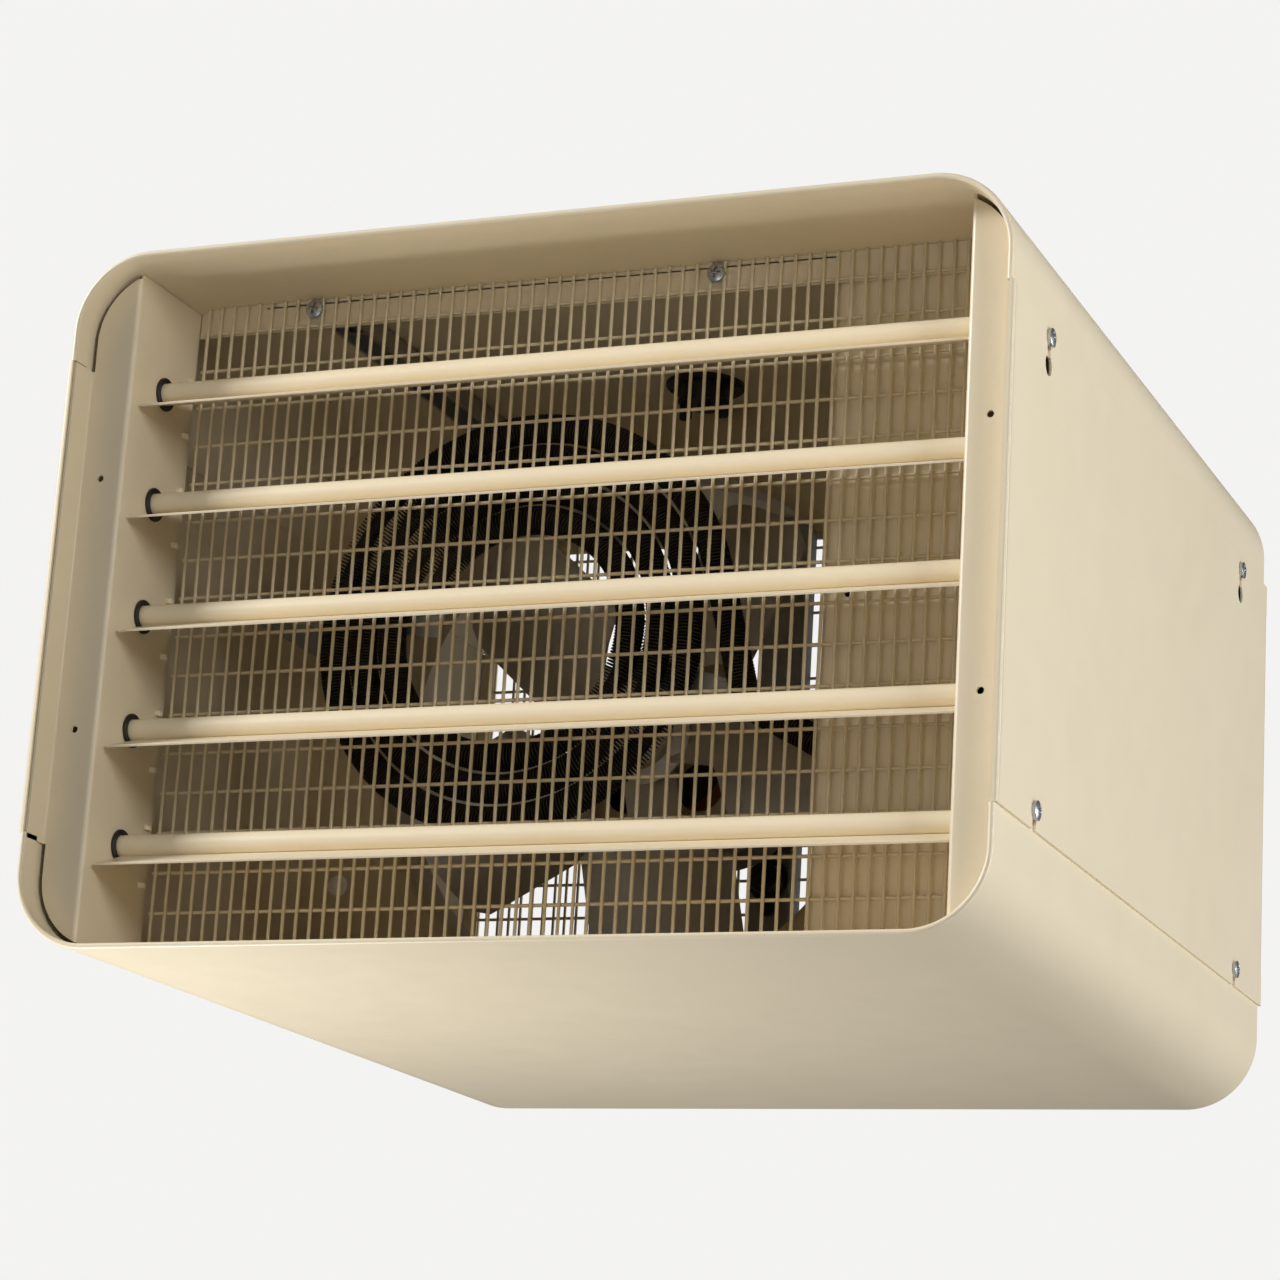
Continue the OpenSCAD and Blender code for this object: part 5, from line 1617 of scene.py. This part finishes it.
@dataclass
class Coil:
    """Finned spiral heating coil with its leads, arms and ceramic bushings.

    Attributes:
        centre: Centre of the spiral, across and up.
        plane: Distance of the spiral from the front.
        radius: Radius of the largest half turn.
        pitch: Distance from one turn to the next.
        halves: Number of half turns.
        last: Angle at which the innermost half turn ends.
        fin: Fin radius.
        sheath: Sheath radius.
        fin_pitch: Distance from one fin to the next.
        strip: Thickness of the fins.
        lead_angle: Where the outer lead leaves.
        drop: Straight length of the outer lead.
        bend: Radius of its bend.
        turn: Angle of its bend.
        stop: Distance of the fins' end from the partition.
        end_bend: Radius of the bare sheath's bend.
        back: How far the inner lead stands behind the coil.
        out: Length of the leads beyond the partition.
        lead_bend: Radius of the inner lead's bend.
        partition: Distance of the partition from the middle.
        arm_angles: Directions of the arms from the coil's centre.
        arm_end: Distance of the arms' ends from the fan axis.
    """

    centre: Pair = (-45.0, 11.0)
    plane: float = 125.0
    radius: float = 92.8
    pitch: float = 14.2
    halves: int = 7
    last: float = 153.0
    fin: float = 6.6
    sheath: float = 3.3
    fin_pitch: float = 1.5
    strip: float = 0.45
    lead_angle: float = 15.0
    drop: float = 56.0
    bend: float = 18.0
    turn: float = 46.0
    stop: float = 12.0
    end_bend: float = 14.0
    back: float = 22.0
    out: float = 14.0
    lead_bend: float = 6.0
    partition: float = PARTITION_X
    arm_angles: Pair = (-18.0, 172.0)
    arm_end: float = 140.0

    @staticmethod
    def ray(degrees: float) -> np.ndarray:
        """Unit vector at an angle."""
        return np.array((math.cos(math.radians(degrees)), math.sin(math.radians(degrees))))

    def half(self, i: int) -> float:
        """Radius of half turn i."""
        return self.radius - i * self.pitch / 2

    def spiral(self) -> tuple[np.ndarray, np.ndarray]:
        """Middle line of the tube, across and up, from the outer lead inwards.

        Returns:
            The finned part, and the bare bend that comes before it.
        """
        c, a, b = np.array(self.centre), self.lead_angle, self.lead_angle + self.turn
        leave = c + self.radius * self.ray(a) - self.drop * self.ray(a + 90)
        turned = leave + self.bend * (self.ray(a) - self.ray(b))
        run = (self.partition - self.stop - turned[0]) / math.sin(math.radians(b))
        bare = turned - run * self.ray(b + 90)
        end = bare + self.end_bend * (self.ray(b) - np.array((0.0, 1.0)))
        points = [turned + (bare - turned) * s for s in np.linspace(1, 0, 24, endpoint=False)]
        centre = leave + self.bend * self.ray(a)
        points += [centre + self.bend * self.ray(s) for s in np.linspace(180 + b, 180 + a, 24, endpoint=False)]
        points += [leave + self.drop * self.ray(a + 90) * s for s in np.linspace(0, 1, 30, endpoint=False)]
        points += [c + self.radius * self.ray(s) for s in np.linspace(a, 180, 160, endpoint=False)]
        for i in range(1, self.halves):
            middle = c - np.array((i % 2 * self.pitch / 2, 0.0))
            start = 180.0 if i % 2 else 0.0
            final = i == self.halves - 1
            angles = np.linspace(0, self.last if final else 180, 150, endpoint=final)
            points += [middle + self.half(i) * self.ray(start + s) for s in angles]
        bend_centre = bare + self.end_bend * self.ray(b)
        lead = [bend_centre + self.end_bend * self.ray(s) for s in np.linspace(270, 180 + b, 14)]
        return np.array(points), np.array([end, *lead])

    def at_plane(self, points: np.ndarray) -> np.ndarray:
        """Puts points of the spiral into the case."""
        return np.stack([points[:, 0], np.full(len(points), self.plane), points[:, 1]], 1)

    def fins(self, path: np.ndarray) -> Shape:
        """Strip wound on edge round the tube.

        Args:
            path: Middle line of the finned part.

        Returns:
            The strip.
        """
        length = np.concatenate([[0], np.cumsum(np.linalg.norm(np.diff(path, axis=0), axis=1))])
        total, sides = length[-1], 16
        steps = int(total / self.fin_pitch * sides)
        s = np.linspace(2.0, total - 2.0, steps)
        points = np.stack([np.interp(s, length, path[:, k]) for k in range(3)], 1)
        tangent = np.stack([np.interp(s, length, np.gradient(path[:, k], length)) for k in range(3)], 1)
        tangent /= np.linalg.norm(tangent, axis=1)[:, None]
        across = np.cross(tangent, (0.0, 1.0, 0.0))
        across /= np.linalg.norm(across, axis=1)[:, None]
        angle = np.arange(steps) * 2 * math.pi / sides
        radial = np.cos(angle)[:, None] * across + np.sin(angle)[:, None] * np.array((0.0, 1.0, 0.0))
        ripple = 1 + 0.008 * np.sin(np.arange(steps) * 2.7)
        root, rim = points + radial * (self.sheath - 0.2), points + radial * (self.fin * ripple - 0.1)[:, None]
        side = tangent * self.strip / 2
        rings = np.stack([root - side, rim - side, rim + side, root + side], 1)
        faces: list[tuple[int, ...]] = [(3, 2, 1, 0)]
        for i in range(steps - 1):
            a, b = 4 * i, 4 * i + 4
            faces += [(a, a + 1, b + 1, b), (a + 1, a + 2, b + 2, b + 1), (a + 2, a + 3, b + 3, b + 2)]
        last = 4 * (steps - 1)
        faces.append((last, last + 1, last + 2, last + 3))
        return Shape(rings.reshape(-1, 3), faces)

    def tube(self) -> Shape:
        """The whole element: sheath, fins and the pins at its ends."""
        finned, lead = (self.at_plane(p) for p in self.spiral())
        stop_x = self.partition + SHEET + self.out
        inner, bend, level = finned[-1], self.lead_bend, self.back - self.lead_bend
        start = np.array((stop_x, self.plane, lead[0][2]))
        front = np.vstack([np.linspace(start, lead[0], 12)[:-1], lead, finned])
        corner = [inner + np.array((0, d, 0)) for d in np.linspace(1, level, 8)]
        turn = [inner + np.array((bend - bend * math.cos(a), level + bend * math.sin(a), 0))
                for a in np.linspace(0, math.pi / 2, 9)]
        tail = np.linspace(turn[-1], (stop_x, self.plane + self.back, inner[2]), 30)[1:]
        line = np.vstack([front, corner, turn, tail])
        pins = [sweep(np.linspace((stop_x - 1, y, z), (stop_x + 7, y, z), 3), self.sheath / 2, 12) for y, z in LEADS]
        return joined([sweep(line, self.sheath, 14), self.fins(finned), *pins])

    def arms(self) -> Shape:
        """Two bent arms behind the coil, which end on the fan plate."""
        made = []
        t, wide, bend, near = 1.5, 12.0, 2.5, self.plane + self.fin
        inner = self.half(self.halves - 1) - self.fin
        for degrees in self.arm_angles:
            ray = self.ray(degrees)
            out = self.arm_end - ((self.centre[0] - FAN_X) * ray[0] + self.centre[1] * ray[1])
            line = [(inner, near + t / 2)] + arc((out - bend, near + bend), bend - t / 2, 270, 360, 6)
            line += [(out - t / 2, FAN_PLATE_Y)]
            strip = sheet(line, t, lambda _: (-wide / 2, wide / 2), Axis.Z)
            made.append(strip.turned(-degrees, Axis.Y).at(self.centre[0], 0, self.centre[1]))
        return joined(made)

    def ceramics(self) -> Shape:
        """Ceramic bushings of the two leads."""
        profile = [(self.sheath, -3), (6.3, -3), (6.9, -2.6), (7.0, -0.2), (6.8, 0), (6.0, 0), (6.0, 1.2),
                   (6.8, 1.2), (7.0, 1.5), (6.9, 4.7), (6.3, 5.2), (self.sheath, 5.2)]
        return joined(lathe(profile, Axis.X, 32).at(self.partition, y, z) for y, z in LEADS)

    def build(self) -> None:
        """Makes the coil and what holds it."""
        piece("heating_coil", self.tube(), SHEATH, angle=60)
        piece("coil_supports", self.arms(), GALVANISED, edge=0.2)
        piece("lead_bushings", self.ceramics(), CERAMIC, angle=40)


def lead_places() -> list[Pair]:
    """Where the coil's two leads pass the partition, as distance from the front and height."""
    coil = Coil()
    finned, lead = coil.spiral()
    return [(coil.plane, float(lead[0][1])), (coil.plane + coil.back, float(finned[-1][1]))]


LEADS = lead_places()


# ---------------------------------------------------------------------------------------------------- the fan


@dataclass
class FanDrive:
    """Five blade fan, its motor and bracket, and the round switch on the brace.

    Attributes:
        axis: Fan axis, from the middle.
        blade_y: Distance of the fan's middle from the front.
        tip: Blade tip radius.
        blades: Number of blades.
        first: Angle of the first blade.
        chord: Width of a blade.
        pitch: Blade angle.
        camber: Radius that a blade is rolled to.
        hub: Hub radius.
        hub_y: Where the hub starts and ends.
        plate_y: Distance of the motor bracket from the front.
        switch_z: Height of the switch.
    """

    axis: float = FAN_X
    blade_y: float = 274.0
    tip: float = 122.0
    blades: int = 5
    first: float = 7.0
    chord: float = 72.0
    pitch: float = 27.0
    camber: float = 75.0
    hub: float = 17.0
    hub_y: Pair = (262.0, 286.0)
    plate_y: float = 302.0
    switch_z: float = -40.0

    def blade(self) -> Shape:
        """One cambered blade, along +X, with the fan's axis along Z.

        Returns:
            The blade.
        """
        inner, rows, columns, t = self.hub - 2.0, 22, 18, 1.4
        widest, spread, blunt = 85.4, 45.1, 1.4
        arm, root = 12.5, 60.0
        lean = math.cos(math.radians(self.pitch))
        top, bottom = [], []
        for i in range(rows + 1):
            s = i / rows
            r = inner + (self.tip - inner) * s
            wide = self.chord / 2 * min(1.0, math.sqrt(max(0.0, 1 - ((r - widest) / spread) ** 2)) * blunt)
            wide = max(wide, arm if r < root else 0.0)
            for j in range(columns + 1):
                v = (j / columns * 2 - 1) * wide
                lift = self.camber - math.sqrt(self.camber ** 2 - v ** 2)
                reach = math.sqrt(max(0.0, r * r - (v * lean) ** 2)) if r > root else r
                for made, h in ((top, t / 2), (bottom, -t / 2)):
                    made.append((reach, v, lift + h))
        n = columns + 1
        count = len(top)
        faces = []
        for i in range(rows):
            for j in range(columns):
                a, b = i * n + j, (i + 1) * n + j
                faces.append((a, b, b + 1, a + 1))
                faces.append((count + a, count + a + 1, count + b + 1, count + b))
        edge = list(range(n)) + [i * n + columns for i in range(1, rows + 1)]
        edge += [rows * n + j for j in range(columns - 1, -1, -1)] + [i * n for i in range(rows - 1, 0, -1)]
        for a, b in zip(edge, edge[1:] + edge[:1]):
            faces.append((a, b, count + b, count + a))
        return Shape(np.array(top + bottom), faces).turned(-self.pitch, Axis.X)

    def fan(self) -> Shape:
        """Blades on their hub."""
        start, end = self.hub_y
        hub = lathe([(4.0, start + 0.4), (4.4, start), (self.hub - 1, start), (self.hub, start + 1),
                     (self.hub, end - 1), (self.hub - 1, end), (4.4, end), (4.0, end - 0.4)], Axis.Y, 56)
        blade = self.blade()
        made = []
        for i in range(self.blades):
            angle = self.first + i * 360 / self.blades
            turned = blade.turned(angle, Axis.Z).turned(-90, Axis.X)
            made.append(turned.at(0, self.blade_y, 0))
        spider = lathe([(self.hub - 1, self.blade_y - 6), (self.hub + 7, self.blade_y - 3),
                        (self.hub + 7, self.blade_y - 1.6), (self.hub - 1, self.blade_y - 4.4)], Axis.Y, 56)
        return joined([hub, spider, *made]).at(self.axis, 0, 0)

    def bracket(self) -> Shape:
        """Upright plate with its round head and foot.

        Returns:
            The plate.
        """
        head, right, left, t, bend, deep = 52.0, 25.0, 35.0, 2.0, 3.0, 60.0
        low = -CASE.inside_z
        start, end = math.degrees(math.acos(right / head)), math.degrees(math.acos(left / head))
        outline = [(right, low + bend)] + arc((0, 0), head, -start, 180 + end, 60) + [(-left, low + bend)]
        vents = [circle(26 * math.cos(a), 26 * math.sin(a), 12.0, 36) for a in np.radians((45, 135, 225, 315))]
        flat = plate([outline, circle(0, 0, 8.4, 32), *vents], t, 0.2).moved(FACING_FRONT)
        line = [(self.plate_y + t / 2, low + bend + 0.3)]
        line += arc((self.plate_y + bend, low + bend), bend - t / 2, 180, 270, 6)
        line += [(self.plate_y + deep, low + t / 2)]
        foot = sheet(line, t, lambda _: (-left, right), Axis.X)
        return joined([flat.at(self.axis, self.plate_y, 0), foot.at(self.axis, 0, 0)])

    def switch(self) -> Shape:
        """Round bimetal switch with its stepped cap and two flat terminals."""
        face = [(0, 405.4), (2.2, 405.4), (2.5, 405.9), (4.4, 405.9), (4.8, 405.2), (7.4, 405.2), (8.0, 405.8),
                (8.0, 412.8), (8.4, 413.0), (10.6, 413.0), (11.0, 413.4), (11.0, 416.0), (0, 416.0)]
        body = lathe(face, Axis.Y, 56)
        tab = plate([[(-3, 0), (3, 0), (3, 6.8), (2, 8.0), (-2, 8.0), (-3, 6.8)]], 0.8, 0.1).moved(FACING_FRONT)
        tabs = [tab.flipped(side).at(0, 413.8, side * 10.0) for side in (-1, 1)]
        return joined([body, *tabs]).at(BRACE_X, 0, self.switch_z)

    def build(self) -> None:
        """Makes the fan, its motor and the switch."""
        piece("fan", self.fan(), ALUMINIUM, Body.FAN.value, angle=40)
        # The motor bracket carries the almond coat darkened as painted shade.
        piece("motor_bracket", self.bracket(), SHADED_ALMOND, angle=35)
        piece("fan_switch", self.switch(), SWITCH, angle=40)
        # The motor's bells and rotor carry a dark brownish grey as painted shade and painted reflection.
        for node, finish in (("fan_set_screw", ZINC), ("motor_shaft", STEEL), ("motor_rotor", SHADED_MOTOR_BELL),
                             ("motor_stator", LAMINATION), ("motor_windings", COPPER), ("motor_bell_front", SHADED_MOTOR_BELL),
                             ("motor_bell_rear", SHADED_MOTOR_BELL), ("motor_bearings", BRONZE), ("motor_bolts", ZINC)):
            repaint(node, finish)


# ----------------------------------------------------------------------------------------------- the controls


@dataclass
class Controls:
    """Contactor, transformer, terminals and cable inlet in the closed compartment.

    Attributes:
        kept: Nodes that keep their CAD shape, and their finishes.
    """

    kept: tuple[tuple[str, Finish], ...] = (
        ("contactor_base", PHENOLIC), ("contactor_armature", LAMINATION), ("transformer_core", CORE),
        ("transformer_coil", TAPE), ("terminal_block", BLACK), ("terminal_screws", BRONZE), ("ground_screw", GREEN),
        ("cable_bushing", BLACK))

    def build(self) -> None:
        """Gives the controls their finishes."""
        for node, finish in self.kept:
            repaint(node, finish)


# ------------------------------------------------------------------------------------------------- the studio


@dataclass(frozen=True)
class Lamp:
    """One soft light, which the camera doesn't see.

    Attributes:
        name: Its name.
        place: Where it hangs, in metres.
        aim: What it points at.
        size: Its side, in metres.
        power: Its watts.
        colour: Its colour.
    """

    name: str
    place: Triple
    aim: Triple
    size: float
    power: float
    colour: Triple = (1.0, 1.0, 1.0)

    def hang(self) -> None:
        """Hangs the light."""
        light = bpy.data.lights.new(self.name, "AREA")
        light.size, light.energy, light.color = self.size, self.power, self.colour
        lamp = bpy.data.objects.new(self.name, light)
        lamp.visible_camera = False
        lamp.location = self.place
        lamp.rotation_euler = (Vector(self.place) - Vector(self.aim)).to_track_quat("Z", "Y").to_euler()
        bpy.context.scene.collection.objects.link(lamp)


@dataclass
class Studio:
    """Camera, floor, sky and soft lights.

    Attributes:
        lens: Focal length on a 36 mm sensor.
        eye: Camera's place, in metres.
        right: Its right-hand direction.
        up: Its upward direction.
        back: The direction behind it.
        floor: Height of the floor.
        glow: Strength of the floor's glow, which no diffuse or glossy ray meets.
        light: Strength of the sky's light.
        paper: Brightness of the backdrop that the camera sees instead of the sky.
        lamps: The lights.
    """

    lens: float = 103.16
    eye: Triple = (0.6114, -1.4959, -0.5660)
    right: Triple = (0.9240, 0.3777, 0.0595)
    up: Triple = (0.0466, -0.2657, 0.9630)
    back: Triple = (0.3795, -0.8870, -0.2631)
    floor: float = -1.6
    glow: float = 0.62
    light: float = 0.12
    paper: float = 0.9
    lamps: tuple[Lamp, ...] = (
        Lamp("left", (-1.9, -1.25, 0.85), (0.0, -0.15, -0.15), 0.5, 54.0),
        Lamp("right", (2.2, 0.75, -0.35), (0.2, 0.0, -0.15), 1.0, 29.0, (0.95, 0.975, 1.0)),
        Lamp("low", (-0.34, -0.20, -0.70), (0.0, -0.15, -0.3), 0.25, 2.6),
        Lamp("under", (0.9, -0.1, -1.4), (0.1, 0.0, -0.3), 0.8, 3.2),
        Lamp("near", (1.0, -0.75, 0.1), (0.0, -0.2, -0.15), 0.35, 4.3),
        Lamp("front", (0.1, -2.2, -0.7), (0.0, 0.0, -0.15), 0.8, 3.5),
    )

    def camera(self) -> None:
        """Stands the camera where the photograph was taken from."""
        lens = bpy.data.cameras.new("camera")
        lens.lens, lens.sensor_width, lens.clip_end = self.lens, 36.0, 50.0
        made = bpy.data.objects.new("camera", lens)
        bpy.context.scene.collection.objects.link(made)
        axes = Matrix((self.right, self.up, self.back)).transposed()
        made.matrix_world = Matrix.Translation(self.eye) @ axes.to_4x4()
        bpy.context.scene.camera = made

    def backdrop(self) -> None:
        """Lays the pale floor."""
        work = bmesh.new()
        bmesh.ops.create_grid(work, x_segments=8, y_segments=8, size=6.0)
        mesh = bpy.data.meshes.new("floor")
        work.to_mesh(mesh)
        work.free()
        floor = bpy.data.objects.new("floor", mesh)
        floor.location = (0.0, 0.0, self.floor)
        floor.visible_diffuse = floor.visible_glossy = False
        bpy.context.scene.collection.objects.link(floor)
        paint = bpy.data.materials.new("pale_floor")
        graph = Graph(paint)
        haze = graph.noise(graph.place(), 3.0, 3.0)
        pale = graph.blend(haze, (0.84, 0.83, 0.81), (0.80, 0.79, 0.77))
        graph.surface(Base_Color=pale, Roughness=0.8 + haze * 0.1, Emission_Color=pale, Emission_Strength=self.glow)
        mesh.materials.append(paint)

    def sky(self) -> None:
        """Fills the world with pale light, and shows the camera a paler backdrop."""
        world = bpy.data.worlds.new("studio")
        bpy.context.scene.world = world
        world.use_nodes = True
        tree = world.node_tree
        light = tree.nodes["Background"]
        light.inputs["Color"].default_value = (1.0, 0.985, 0.96, 1.0)
        light.inputs["Strength"].default_value = self.light
        paper = tree.nodes.new("ShaderNodeBackground")
        paper.inputs["Color"].default_value = (1.0, 0.995, 0.985, 1.0)
        paper.inputs["Strength"].default_value = self.paper
        rays = tree.nodes.new("ShaderNodeLightPath")
        pick = tree.nodes.new("ShaderNodeMixShader")
        tree.links.new(rays.outputs["Is Camera Ray"], pick.inputs["Fac"])
        tree.links.new(light.outputs["Background"], pick.inputs[1])
        tree.links.new(paper.outputs["Background"], pick.inputs[2])
        tree.links.new(pick.outputs["Shader"], tree.nodes["World Output"].inputs["Surface"])

    def build(self) -> None:
        """Sets up the studio."""
        bpy.context.scene.view_settings.view_transform = "Standard"
        self.camera()
        self.backdrop()
        self.sky()
        for lamp in self.lamps:
            lamp.hang()


def main() -> None:
    """Builds the heater and its studio."""
    logging.basicConfig(level=logging.INFO, format="%(message)s")
    for part in (Studio(), Shells(), Louvers(), Grilles(), AirChamber(), Coil(), FanDrive(), Controls()):
        log.info("building %s", type(part).__name__)
        part.build()


if __name__ == "__main__":
    main()
